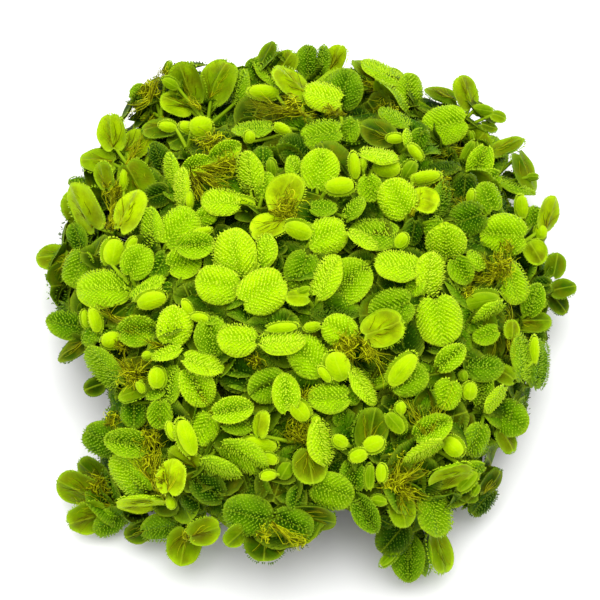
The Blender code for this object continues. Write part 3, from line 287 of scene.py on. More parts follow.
# Plants on the sides that the picture doesn't show. A whorl stands at a height from -1 to 1 and
# a bearing round the heap, and its leaves turn round it from level, in degrees
UPPER_HEIGHT = 0.32
LOWER_HEIGHT = -0.08
BACK_BEARINGS = (35, 61, 92, 122, 149)
UPPER_TURNS = (40, 128, 218, 310)
LOWER_TURNS = (8, 92, 172)
SIDE_TILTS = (24, 42, 30, 50)
SIDE_LENGTHS = (0.0124, 0.0112, 0.0118, 0.0121)
SIDE_REACH = 0.0078
SIDE_TWIST = 17

SHADE_STEP = 0.0011           # each deeper shade of green starts this much further in
SLIDE_STEP = 0.0005
MOST_SLIDE_IN = 0.0095
MOST_SLIDE_OUT = 0.0030

SAME_PLACE = 0.00004          # from a corner of a leaf to that of its solid, if they match
LOWEST_POINT = 0.0006         # above the surface that the clump rests on
CHANCE_SEED = 5

# A blade's finer form
FULLNESS = 1.06               # the margin's reach, 1 on a plain oval
MARGIN_WAVE = 0.022
BASE_NOTCH = 0.26             # how far the margin is cut in at the stem
BASE_NOTCH_ANGLE = math.radians(13)
TIP_NOTCH = 0.10              # and at the tip
TIP_NOTCH_ANGLE = math.radians(11)
NOTCHED_SHARE = 0.3           # of the leaves have a notched tip
BLADE_WAVE = 0.026            # of a leaf's length
SKIN_THICKNESS = 0.00045      # in the middle of a blade
RIM_THICKNESS = 0.00016       # at its margin
YOUNG_OFFSET = 0.15           # between the two halves of a young leaf, in its widths
YOUNG_GAP = 0.09
YOUNG_BULGE = 0.16
YOUNG_UNDER = 0.65            # how far a young leaf's look is that of an underside
# painted shade: the rear half of a young leaf is darker than the front one
YOUNG_REAR_SHADE_TONE = 0.72        # of the rear half, against the front one
YOUNG_DIMMING = {1: 0.03, 2: 0.14, 3: 0.03, 4: 0.03, 5: 0.0}  # at each depth of shade
# painted shade: a leaf's green at each depth of shade, darker the deeper in shade it lies
SHADE_TONES = {1: 0.90, 2: 0.72, 3: 0.53, 4: 0.34, 5: 0.10}
TONE_SPREAD = 0.03
LEAST_TONE = 0.03
TIP_PALENESS = 0.16           # from the base of a leaf to its tip
# painted shade in the crease along the midrib
MIDRIB_CREASE_SHADE = 0.13
MIDRIB_GROOVE = 0.0013        # depth
MIDRIB_WIDTH = 0.18           # of a leaf's width
MARGIN_DROP = 0.035           # of a leaf's length
MARGIN_CURL = 0.035           # how much the drop varies
FINE_GRID = (28, 6)           # sectors and rings of a grown blade
PLAIN_GRID = (18, 4)          # of a small or shaded one
FINE_LENGTH = 0.62            # a longer leaf, in grown lengths, has the fine grid

# Hairs
HAIR_SPACING = 0.00046
ROW_SLANT = 0.9               # of the rows of hairs, towards the tip
HAIR_LENGTHS = (0.0005, 0.0009)
MARGIN_HAIR_LENGTHS = (0.0005, 0.0009)
MARGIN_HAIRS = 62
HAIR_RADIUS = 0.00021
HAIR_SEED = 11
HAIR_REACH = 0.46             # of the rows from the middle of a leaf
MARGIN_REACH = 0.49
HAIR_LEAN = 0.45              # towards the tip
HAIR_SPLAY = 0.3              # away from the midrib
HAIR_SPREAD = 0.24

# Root fibres and stems. Radii are those of a fibre's start and end, tones run from 0 to 1
CLING_HEIGHT = 0.0008         # of root fibres above the underside that they lie on
CLING_FIBRES = 12
CLING_RADII = (0.00013, 0.00005)
CLING_TONES = (0.1, 0.8)
CLING_LENGTH = 0.6            # a longer leaf, in grown lengths, has them
STEM_RADII = (0.0006, 0.00045)  # at the crown and at the blade
STEM_SIDES = 5
FIBRE_SIDES = 3
RUNNER_RADII = (0.0007, 0.0006)  # of a stem between two crowns
RUNNER_TONE = 0.6
CROWN_ROOTS = 8
CROWN_ROOT_SPREAD = 0.002
CROWN_ROOT_RADII = (0.00018, 0.00006)
CROWN_ROOT_TONES = (0.1, 0.7)
TUFT_RISES = (0.0002, 0.0022, 0.0012)  # of a root's start, end and middle towards the eye
TUFT_FIBRES = 40              # in a root as long as a grown leaf
TUFT_SPREAD = 0.0015
TUFT_RADII = (0.00012, 0.00004)
TUFT_TONES = (0.1, 1.0)

# The raised rows between the veins
VEINS = 12                    # from base to tip
ROW_WAVER = 0.22

# Leaves in the shade
FILL_LEAVES = 1100            # tries at a leaf behind the pictured ones
FILL_PIXELS = (35, 585)       # the part of the picture that they fill
ROUND_LEAVES = 420            # shaded leaves all round the heap
ROUND_HEIGHTS = (-0.22, 0.8)  # as shares of the heap's height from its middle
SHADED_DEPTHS = (0.0020, 0.0075)  # under the heap's surface
SHADE_DEPTH = 0.0075          # darker from this depth on
# painted shade: tones of leaves in the shade, darker from SHADE_DEPTH on and darkest in a dark gap
SHADED_TONES = ((0.0, 0.30), (0.0, 0.12), (0.0, 0.03))
SHADED_LENGTHS = (0.0095, 0.0128)
SHADED_TILT = 0.4
SHADED_HAIRY_SHARE = 0.75     # the others show their underside
GAP_DEPTH = 0.003             # further in, where the picture has a dark gap
FILL_REACH = 14               # pixels past a leaf where another is still behind it
FILL_GAP = 0.0012             # between a leaf and the one behind it
MOST_FILL_DEPTH = 0.010
SHADED_HAIR_STEP = 3          # one hair in so many is kept

# Dark gaps in the picture: the x and y of the middle, and the reach. Leaves there sink further in and are
# painted in the darkest shade.
DARK_GAPS = [
    (360, 212, 15), (380, 226, 9), (232, 232, 13), (225, 312, 13), (355, 312, 13), (440, 357, 13),
    (280, 424, 11), (272, 492, 11), (390, 462, 12), (168, 212, 9), (284, 175, 9), (368, 405, 11),
    (176, 300, 9), (200, 408, 10), (155, 440, 12), (305, 322, 9), (180, 512, 9), (390, 542, 8),
    (418, 241, 9), (265, 142, 9), (440, 458, 10), (372, 478, 10), (475, 345, 8), (215, 392, 8)]

# The outline of the clump in the picture
OUTLINE_PIXELS = [
    (38, 258), (64, 205), (82, 165), (99, 128), (130, 95), (148, 75), (170, 60), (192, 62), (222, 59),
    (247, 65), (270, 47), (300, 50), (327, 46), (349, 50), (365, 60), (397, 75), (427, 85), (447, 92),
    (470, 83), (484, 100), (503, 118), (497, 132), (487, 142), (503, 141), (527, 150), (530, 190),
    (547, 197), (557, 212), (549, 235), (545, 260), (558, 255), (573, 279), (550, 312), (551, 331),
    (549, 345), (540, 380), (532, 395), (530, 425), (520, 445), (500, 451), (492, 463), (502, 470),
    (498, 495), (480, 513), (452, 510), (450, 525), (444, 555), (430, 573), (416, 580), (390, 572),
    (380, 562), (377, 530), (363, 532), (350, 515), (335, 510), (330, 525), (312, 548), (285, 555),
    (270, 562), (245, 545), (232, 540), (215, 520), (205, 545), (180, 558), (165, 545), (150, 541),
    (130, 528), (97, 534), (75, 525), (69, 505), (61, 478), (79, 465), (100, 462), (86, 438),
    (100, 420), (108, 400), (90, 395), (85, 378), (90, 360), (60, 345), (54, 325)]

# The mat of roots
MAT_FIBRES = 2200
MAT_FALL_ANGLE = math.radians(125)
MAT_GRID = (72, 26)
MAT_REACH = 0.95
MAT_FIBRE_RADII = (0.00016, 0.00005)
MAT_FIBRE_TONES = (0.0, 0.75)

# Tangles of root fibres: x and y in the picture, reach in pixels, rise towards the eye
TANGLE_FIBRES = 56            # in a tangle of 12 pixels reach
TANGLE_TONES = (0.15, 1.15)
TANGLE_RADII = (0.00015, 0.00006)
TANGLES = [
    (150, 92, 15, 0.002), (166, 74, 8, 0.002), (176, 106, 9, 0.001), (213, 146, 15, 0.001),
    (228, 165, 13, 0.001), (116, 190, 12, 0.003), (112, 225, 8, 0.003), (133, 374, 14, 0.001),
    (122, 345, 10, 0.001), (112, 420, 10, -0.001), (150, 440, 13, -0.001), (158, 418, 8, -0.001),
    (286, 208, 14, 0.004), (292, 106, 12, 0.002), (330, 110, 8, 0.001), (440, 183, 12, 0.002),
    (506, 247, 9, 0.002), (500, 268, 14, 0.003), (347, 345, 14, 0.002), (367, 352, 10, 0.001),
    (298, 430, 12, 0.0), (312, 455, 8, 0.0), (392, 480, 14, 0.0), (406, 492, 10, 0.001),
    (150, 460, 10, 0.001), (166, 480, 10, 0.002), (98, 485, 13, 0.002), (192, 534, 9, 0.001),
    (266, 533, 8, 0.001), (300, 541, 8, 0.0), (400, 455, 8, 0.0), (470, 292, 9, -0.001),
    (432, 200, 8, 0.001), (255, 360, 9, -0.001), (462, 205, 10, -0.004), (477, 274, 8, -0.003),
    (150, 120, 9, 0.001), (392, 110, 8, -0.001), (200, 400, 8, -0.001)]

# The studio
FLOOR_HALF_SIZE = 3.0
WORLD_STRENGTH = 0.79         # of the white surround
LIGHT_SIZE = (0.75, 0.75)
LIGHT_PLACE = (0.0, 0.035, 0.80)
LIGHT_AIM = (0, 0, 0.02)
LIGHT_POWER = 6.9
SENSOR_WIDTH = 36             # millimetres

# Colours, from the darkest tone to the lightest
# the leaf ramps paint shade: low tones are leaves deep in shade, high tones fully lit ones
UPPER_COLORS = ((0.0, (0.005, 0.032, 0.0005)), (0.17, (0.022, 0.095, 0.0005)),
                (0.34, (0.11, 0.265, 0.0005)), (0.54, (0.205, 0.40, 0.0005)),
                (0.74, (0.36, 0.645, 0.0005)), (0.92, (0.45, 0.74, 0.001)), (1.0, (0.52, 0.82, 0.001)))
UNDER_COLORS = ((0.0, (0.012, 0.036, 0.0005)), (0.17, (0.036, 0.10, 0.0005)),
                (0.34, (0.10, 0.185, 0.0005)), (0.54, (0.19, 0.32, 0.0005)),
                (0.74, (0.35, 0.52, 0.0005)), (0.92, (0.43, 0.63, 0.001)), (1.0, (0.50, 0.74, 0.001)))
# the pale hair tips: the hairs' own pale colour and a painted highlight where they catch the light
HAIR_TIP_COLORS = ((0.0, (0.03, 0.08, 0.002)), (0.13, (0.18, 0.33, 0.012)), (0.4, (0.42, 0.66, 0.02)),
                   (0.8, (0.68, 0.90, 0.03)), (1.0, (0.80, 0.95, 0.06)))
STEM_COLORS = ((0.0, (0.03, 0.06, 0.001)), (0.5, (0.17, 0.30, 0.002)), (1.0, (0.42, 0.64, 0.01)))
STEM_SPECKLE_COLOR = (0.16, 0.25, 0.006, 1)
ROOT_COLORS = ((0.0, (0.04, 0.035, 0.001)), (0.35, (0.14, 0.14, 0.001)), (0.65, (0.32, 0.35, 0.002)),
               (1.0, (0.66, 0.72, 0.008)))
# the mat's own dark brown, with the shade inside the heap painted in down to near black
MAT_ROOT_AND_SHADE_COLORS = ((0.1, (0.004, 0.006, 0.0005)), (0.3, (0.016, 0.02, 0.001)), (0.55, (0.05, 0.05, 0.002)))
STAIN_COLOR = (0.14, 0.15, 0.002, 1)
# painted shade in the troughs between the raised rows of a leaf
TROUGH_SHADE_COLOR = (0.012, 0.07, 0.001, 1)
RIB_COLOR = (0.55, 0.75, 0.02, 1)
RIM_COLOR = (0.62, 0.85, 0.03, 1)
GLOSS_COLOR = (0.8, 1.0, 0.04, 1)
FLOOR_COLORS = ((0.95, 0.95, 0.95, 1), (0.97, 0.97, 0.97, 1))

Leaf = namedtuple("Leaf", "middle across tip normal length width shows shade slide outline")


def sight_line(x, y):
    """The direction in which a point of the picture is seen."""
    return (RIGHT * (x - PICTURE_MIDDLE) * PIXEL_SLOPE
            + UP * (PICTURE_MIDDLE - y) * PIXEL_SLOPE - TOWARDS).normalized()


def shrunk(vector):
    """A vector in the space where the heap is a ball of radius one."""
    return Vector([v / axis for v, axis in zip(vector, HEAP_AXES)])


def outward(point):
    """The heap's outward direction at a point near its surface."""
    return shrunk(shrunk(point - HEAP_MIDDLE)).normalized()


def on_heap(x, y, crown=None, most=0.0):
    """Where the heap shows at a point of the picture, or comes nearest to that line of sight,
    but at most so far before or behind the crown that it belongs to."""
    direction = sight_line(x, y)
    start = shrunk(EYE - HEAP_MIDDLE)
    run = shrunk(direction)
    nearest = -start.dot(run) / run.length_squared
    inside = 1 - (start + run * nearest).length_squared
    distance = nearest - math.sqrt(max(inside, 0)) / run.length
    if crown:
        middle = (crown - EYE).length
        distance = min(max(distance, middle - most), middle + most)
    return EYE + direction * distance


def read_leaf(reading, crown):
    """A leaf as it shows in the picture, turned in space by how far it looks foreshortened."""
    x, y, long, wide, bearing, shows, shade = reading
    middle = on_heap(x, y, crown, MOST_LEAF_REACH)
    sight = sight_line(x, y)
    pixel = PIXEL_SLOPE * (middle - EYE).dot(-TOWARDS)
    out = outward(middle)
    full = long if shows in (YOUNG, FOLD, EDGE) else max(long, wide / LEAF_WIDTH_SHARE)
    angle = math.radians(bearing)
    along = RIGHT * math.cos(angle) + UP * math.sin(angle)
    along = (along - sight * along.dot(sight)).normalized()
    pitch = math.acos(long / full)
    if out.dot(along) > RISE_LIMIT:
        pitch = -pitch
    tip = along * math.cos(pitch) - sight * math.sin(pitch)
    normal = -sight * math.cos(pitch) - along * math.sin(pitch)
    across = tip.cross(normal)
    roll = 0
    if shows not in (YOUNG, FOLD):
        roll = math.acos(min(wide / (full * LEAF_WIDTH_SHARE), 1))
    if out.dot(across) < 0:
        roll = -roll
    across, normal = (across * math.cos(roll) - normal * math.sin(roll),
                      normal * math.cos(roll) + across * math.sin(roll))
    if shows == UNDER:
        across, normal = -across, -normal
    width = wide * pixel if shows in (YOUNG, FOLD) else full * pixel * LEAF_WIDTH_SHARE
    outline = LARGE_OUTLINE if long >= LARGE_PIXELS else SMALL_OUTLINE
    return Leaf(middle, across, tip, normal, full * pixel, width, shows, shade, sight, outline)


def round_heap(height, angle):
    """The point on the heap at a height from -1 to 1 and an angle round it."""
    level = math.sqrt(1 - height * height)
    spot = Vector((math.cos(angle) * level, math.sin(angle) * level, height))
    return HEAP_MIDDLE + Vector([v * axis for v, axis in zip(spot, HEAP_AXES)])


def side_whorl(height, bearing, turns):
    """A whorl of leaves round a crown on a side that the picture doesn't show."""
    spot = round_heap(height, math.radians(bearing))
    out = outward(spot)
    side = Vector((0, 0, 1)).cross(out).normalized()
    rise = out.cross(side)
    leaves = []
    for turn, tilt, length in zip(turns, SIDE_TILTS, SIDE_LENGTHS):
        turn, tilt = math.radians(turn), math.radians(tilt)
        away = side * math.cos(turn) + rise * math.sin(turn)
        tip = away * math.cos(tilt) + out * math.sin(tilt)
        normal = out * math.cos(tilt) - away * math.sin(tilt)
        leaves.append(Leaf(spot + away * SIDE_REACH, tip.cross(normal), tip, normal, length,
                           length * LEAF_WIDTH_SHARE, HAIRY, 3, -out, LARGE_OUTLINE))
    return spot - out * CROWN_DEPTH, leaves, []


def side_plants():
    plants = []
    for number, bearing in enumerate(BACK_BEARINGS):
        turns = [turn + SIDE_TWIST * number for turn in UPPER_TURNS]
        plants.append([side_whorl(UPPER_HEIGHT, bearing, turns),
                       side_whorl(LOWER_HEIGHT, bearing + SIDE_TWIST / 2, LOWER_TURNS)])
    return plants


def mat_middle(point):
    """The point inside the mat that a root at the given point grows towards."""
    return Vector((point.x * 0.3, point.y * 0.3, MAT_HEIGHT * 0.4))


def slides():
    """Distances to try along a leaf's line, inwards first."""
    steps = round(MOST_SLIDE_IN / SLIDE_STEP)
    back = round(MOST_SLIDE_OUT / SLIDE_STEP)
    return [i * SLIDE_STEP for i in range(steps)] + [-i * SLIDE_STEP for i in range(1, back)]


def blade_points(leaf, x, y):
    """Points on a leaf's middle layer: x across from -0.5 to 0.5, y from its base, 0, to its tip."""
    fold, curl, width = FOLD_ANGLE, CURL_ANGLE, leaf.width
    if leaf.shows == FOLD:
        least, most = FUNNEL_FOLD_LIMITS
        flat_width = leaf.length * LEAF_WIDTH_SHARE
        fold = min(max(math.acos(min(leaf.width / flat_width, 1)), least), most)
        curl, width = FUNNEL_CURL_ANGLE, flat_width
    elif leaf.shows == YOUNG:
        fold, curl = 0, -FOLD_ANGLE
    bend = 2 * curl
    end = fold + bend * np.abs(x)
    reach = (np.sin(end) - math.sin(fold)) / bend
    height = (math.cos(fold) - np.cos(end)) / bend
    return (np.array(leaf.middle)
            + np.outer(np.copysign(reach, x) * width, leaf.across)
            + np.outer((y - 0.5) * leaf.length, leaf.tip)
            + np.outer(height * width - ARCH * (y - MIDRIB_MIDDLE) ** 2 * leaf.length, leaf.normal))


def solid_corners(leaf):
    """Where the corners of a leaf's solid are, if the solid stands where the leaf does."""
    angle = np.radians(leaf.outline)
    x = np.append(np.sin(angle) / 2, (0, 0))
    y = np.append(0.5 + np.cos(angle) / 2, (MIDRIB_MIDDLE, MIDRIB_MIDDLE))
    corners = blade_points(leaf, x, y)
    thickness = leaf.width * YOUNG_THICKNESS if leaf.shows == YOUNG else BLADE_THICKNESS
    corners[-2] += np.array(leaf.normal) * thickness / 2
    corners[-1] -= np.array(leaf.normal) * thickness / 2
    return corners


def stands_at(leaf, corners_of_plant):
    """The leaf moved to where its solid stands, or to its depth of shade if it has none."""
    level = (leaf.shade - 3) * SHADE_STEP
    best, most = level, 2
    for slide in slides():
        moved = leaf._replace(middle=leaf.middle + leaf.slide * (level + slide))
        met = sum(corners_of_plant.find(corner)[2] < SAME_PLACE for corner in solid_corners(moved))
        if met > most:
            best, most = level + slide, met
    return leaf._replace(middle=leaf.middle + leaf.slide * best), most > 2


def node_corners(name):
    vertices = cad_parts[name].data.vertices
    corners = KDTree(len(vertices))
    for vertex in vertices:
        corners.insert(vertex.co, vertex.index)
    corners.balance()
    return corners


def read_plant(readings, corners):
    """The crown, leaves and root tips of each whorl on one stem, where its solids stand."""
    whorls, first_spot = [], None
    for crown, leaves, roots in readings:
        spot = on_heap(*crown, first_spot, MOST_STEM_REACH)
        first_spot = first_spot or spot
        crown = spot - outward(spot) * CROWN_DEPTH
        grown = [stands_at(read_leaf(leaf, spot), corners)[0] for leaf in leaves]
        tips = [on_heap(x2, y2, spot, MOST_LEAF_REACH) for _, _, x2, y2 in roots]
        whorls.append((crown, spot, grown, tips))
    return whorls


def hidden_plant(readings, corners):
    """The same for a plant on a side that the picture doesn't show."""
    whorls = []
    for crown, leaves, _ in readings:
        found = [stands_at(leaf, corners) for leaf in leaves]
        whorls.append((crown, crown + outward(crown) * CROWN_DEPTH,
                       [leaf for leaf, stands in found if stands], []))
    return whorls


# Forms are gathered as tuples of points, triangles, and for each point its place on the blade
# and its tone, underside, rim and tip values
Form = namedtuple("Form", "points faces spot values")


def disc_grid(sectors, rings):
    """Angles from the tip, radii and triangles of a disc, the middle first."""
    angle = np.concatenate([[0]] + [np.arange(sectors) * math.tau / sectors] * rings)
    radius = np.concatenate([[0.0], np.repeat(np.arange(1, rings + 1) / rings, sectors)])
    faces = [(0, 1 + (i + 1) % sectors, 1 + i) for i in range(sectors)]
    for ring in range(rings - 1):
        start = 1 + ring * sectors
        for i in range(sectors):
            a, b = start + i, start + (i + 1) % sectors
            faces += [(a, b, b + sectors), (a, b + sectors, a + sectors)]
    return angle, radius ** 0.8, np.array(faces)


def outline_reach(angle, leaf, chance):
    """How far the margin is from the middle of the blade at each angle, 1 on a plain oval."""
    from_base = np.abs(angle - math.pi)
    from_tip = np.minimum(angle, math.tau - angle)
    reach = FULLNESS + MARGIN_WAVE * np.sin(3 * angle + chance.uniform(0, 6))
    reach += MARGIN_WAVE / 2 * np.sin(7 * angle + chance.uniform(0, 6))
    if leaf.shows != YOUNG:
        reach -= BASE_NOTCH * np.exp(-(from_base / BASE_NOTCH_ANGLE) ** 2)
        if chance.random() < NOTCHED_SHARE:
            reach -= TIP_NOTCH * np.exp(-(from_tip / TIP_NOTCH_ANGLE) ** 2)
    return reach


def young_forms(leaf, chance, tone):
    """A young leaf, still folded shut: one half in front, the other half behind it."""
    side = chance.choice((-1, 1))
    forms = []
    for half, shift, bulge in ((1, -0.5, 1), (-1, 0.5, -0.6)):
        angle, radius, faces = disc_grid(*PLAIN_GRID)
        reach = outline_reach(angle, leaf, chance) * (1 - YOUNG_OFFSET)
        x, y = radius * reach * np.sin(angle) / 2, 0.5 + radius * reach * np.cos(angle) / 2
        middle = blade_points(leaf, x, y)
        rise = half * YOUNG_GAP + bulge * YOUNG_BULGE * (1 - radius ** 2)
        middle += np.outer(rise * leaf.width, leaf.normal)
        middle += np.array(leaf.across) * side * shift * YOUNG_OFFSET * leaf.width
        # painted shade on the rear half, which lies behind the front one
        forms.append(closed_skin(middle, leaf, x, y, radius, faces, YOUNG_UNDER,
                                 tone if half > 0 else tone * YOUNG_REAR_SHADE_TONE))
    return forms


def closed_skin(middle, leaf, x, y, radius, faces, shows_under, tone):
    """One closed skin round a middle layer: its upper side and underside share the margin."""
    half = RIM_THICKNESS / 2 + SKIN_THICKNESS / 2 * (1 - radius ** 4)
    sectors = int((radius > 0.999).sum())
    count, inner = len(middle), len(middle) - sectors
    upper = middle + np.outer(half, leaf.normal)
    lower = (middle - np.outer(half, leaf.normal))[:inner]
    under = np.where(np.arange(count) < inner, count + np.arange(count), np.arange(count))
    below = under[faces][:, ::-1]
    spot = np.stack([x, y], 1) * (leaf.length / LEAF_LENGTH)
    plain = np.ones(count)
    top_values = np.stack([plain * tone, plain * shows_under, radius ** 6, plain * 0], 1)
    low_values = np.stack([plain * tone, plain, radius ** 6, plain * 0], 1)
    return Form(np.vstack([upper, lower]), np.vstack([faces[:, ::-1], below]),
                np.vstack([spot, spot[:inner]]), np.vstack([top_values, low_values[:inner]]))


def blade_form(leaf, chance, tone, grid=None):
    """A leaf's blade as one closed skin: its upper side and underside share the margin."""
    sectors, rings = grid or (FINE_GRID if leaf.length > LEAF_LENGTH * FINE_LENGTH else PLAIN_GRID)
    angle, radius, faces = disc_grid(sectors, rings)
    reach = outline_reach(angle, leaf, chance)
    x = radius * reach * np.sin(angle) / 2
    y = 0.5 + radius * reach * np.cos(angle) / 2
    middle = blade_points(leaf, x, y)
    normal = np.array(leaf.normal)
    wave = np.sin(2 * angle + chance.uniform(0, 6)) + np.sin(5 * angle + chance.uniform(0, 6)) * 0.5
    lift = wave * radius ** 2 * BLADE_WAVE + chance.normal(-MARGIN_DROP, MARGIN_CURL) * radius ** 3
    middle += np.outer(lift * leaf.length, normal)
    groove = np.exp(-(x / MIDRIB_WIDTH) ** 2) * (1 - radius ** 2) * leaf.length / LEAF_LENGTH
    middle -= np.outer(MIDRIB_GROOVE * groove, normal)
    return closed_skin(middle, leaf, x, y, radius, faces, 0.0, tone)


def blade_normals(leaf, x, y):
    """The upper side's direction at points of a blade."""
    step = 0.02
    across = blade_points(leaf, x + step, y) - blade_points(leaf, x - step, y)
    along = blade_points(leaf, x, y + step) - blade_points(leaf, x, y - step)
    normal = np.cross(across, along)
    normal /= np.linalg.norm(normal, axis=1)[:, None]
    return normal * np.sign(normal @ np.array(leaf.normal))[:, None]


def hair_roots(leaf, chance, tone):
    """Where a leaf's hairs stand, their directions, lengths and tones."""
    points, directions, lengths = [], [], []
    normal = np.array(leaf.normal)
    if leaf.shows in (HAIRY, FOLD, EDGE):
        rows = VEINS * leaf.length / LEAF_LENGTH
        columns = max(int(leaf.length * LEAF_WIDTH_SHARE / 2 / HAIR_SPACING), 2)
        row, column = np.meshgrid(np.arange(-int(rows), int(rows) + 1), np.arange(columns) + 0.6)
        side = (column.ravel() + chance.normal(0, 0.16, row.size)) / columns / 2
        along = (row.ravel() + chance.normal(0, 0.08, row.size)) / rows + side * ROW_SLANT
        side = np.concatenate([side, -side])
        along = np.concatenate([along, along])
        inside = np.hypot(side, along - 0.5) < HAIR_REACH
        side, along = side[inside], along[inside]
        up = blade_normals(leaf, side, along)
        points.append(blade_points(leaf, side, along) + up * SKIN_THICKNESS / 2)
        lean = (up + np.outer(np.full(len(side), HAIR_LEAN), leaf.tip)
                + np.outer(np.sign(side) * HAIR_SPLAY, leaf.across)
                + chance.normal(0, HAIR_SPREAD, up.shape))
        directions.append(lean)
        lengths.append(chance.uniform(*HAIR_LENGTHS, len(side)))
    angle = np.arange(MARGIN_HAIRS) * math.tau / MARGIN_HAIRS + chance.normal(0, 0.04, MARGIN_HAIRS)
    x, y = np.sin(angle) * MARGIN_REACH, 0.5 + np.cos(angle) * MARGIN_REACH
    kept = np.abs((angle % math.tau) - math.pi) > BASE_NOTCH_ANGLE
    x, y = x[kept], y[kept]
    edge = blade_points(leaf, x, y)
    inner = blade_points(leaf, x * 0.9, 0.5 + (y - 0.5) * 0.9)
    out = (edge - inner) / np.linalg.norm(edge - inner, axis=1)[:, None]
    points.append(edge)
    directions.append(out + np.outer(chance.uniform(-0.1, 0.5, len(x)), normal)
                      + chance.normal(0, 0.2, out.shape))
    lengths.append(chance.uniform(*MARGIN_HAIR_LENGTHS, len(x)))
    points, directions = np.vstack(points), np.vstack(directions)
    lengths = np.concatenate(lengths) * min(leaf.length / LEAF_LENGTH * 1.15, 1.0)
    return points, directions, lengths, np.full(len(points), tone)


def bow(start, bend, end, count):
    """Points along a smooth bow from start to end."""
    t = np.linspace(0, 1, count)[:, None]
    start, bend, end = np.array(start), np.array(bend), np.array(end)
    return start * (1 - t) ** 2 + bend * 2 * t * (1 - t) + end * t ** 2


def stem_line(crown, leaf):
    """The stem from the crown to the base of a blade."""
    base = blade_points(leaf, np.array([0.0]), np.array([BASE_NOTCH / 2 + 0.02]))[0]
    inner = blade_points(leaf, np.array([0.0]), np.array([0.25]))[0]
    bend = base + (base - inner) * 0.8
    bend = bend * 0.7 + np.array(crown) * 0.3
    return bow(crown, bend, base, 6)


def clinging_lines(leaf, chance):
    """Root fibres that lie on a leaf's underside and fan out from its base."""
    lines = []
    side = math.copysign(CLING_HEIGHT, leaf.normal.dot(TOWARDS))
    for _ in range(round(CLING_FIBRES * leaf.length / LEAF_LENGTH)):
        t = np.linspace(0, 1, 7)
        reach, aim = chance.uniform(0.3, 0.75), chance.normal(0, 0.22)
        x = t * aim + np.sin(t * chance.uniform(4, 9) + chance.uniform(0, 6)) * 0.05 * t
        y = BASE_NOTCH / 2 + t * reach
        lines.append(blade_points(leaf, np.clip(x, -0.4, 0.4), y) + side * np.outer(1 + t, leaf.normal))
    return lines


def tuft_lines(start, through, end, count, spread, chance):
    """Wavy root fibres that leave one point and fan out towards another."""
    lines = []
    start, through, end = np.array(start), np.array(through), np.array(end)
    reach = np.linalg.norm(end - start)
    for _ in range(count):
        tip = start + (end - start) * chance.uniform(0.6, 1.05) + chance.normal(0, spread, 3)
        tip[2] = max(tip[2], LOWEST_POINT)
        line = bow(start + chance.normal(0, 0.0003, 3), through + chance.normal(0, spread / 2, 3), tip, 7)
        t = np.linspace(0, 1, 7)[:, None]
        line += np.sin(t * chance.uniform(4, 11, 3) + chance.uniform(0, 6, 3)) * t * reach * 0.07
        line[:, 2] = np.maximum(line[:, 2], LOWEST_POINT)
        lines.append(line)
    return lines


# Trees that grow what repeats


def tree_input(tree, name, kind, value=None):
    made = tree.interface.new_socket(name=name, in_out="INPUT", socket_type=kind)
    if value is not None:
        made.default_value = value
    return made


def new_tree(name):
    tree = bpy.data.node_groups.new(name, "GeometryNodeTree")
    tree_input(tree, "Geometry", "NodeSocketGeometry")
    tree_input(tree, "Material", "NodeSocketMaterial")
    tree.interface.new_socket(name="Geometry", in_out="OUTPUT", socket_type="NodeSocketGeometry")
    return tree


def attribute_node(tree, name, kind="FLOAT"):
    made = tree.nodes.new("GeometryNodeInputNamedAttribute")
    made.data_type = kind
    made.inputs["Name"].default_value = name
    return made.outputs["Attribute"]


def end_tree(tree, geometry, given):
    """Realises all instances and sets the material."""
    real = tree.nodes.new("GeometryNodeRealizeInstances")
    coat = tree.nodes.new("GeometryNodeSetMaterial")
    out = tree.nodes.new("NodeGroupOutput")
    tree.links.new(geometry, real.inputs["Geometry"])
    tree.links.new(real.outputs["Geometry"], coat.inputs["Geometry"])
    tree.links.new(given.outputs["Material"], coat.inputs["Material"])
    tree.links.new(coat.outputs["Geometry"], out.inputs["Geometry"])
    return tree


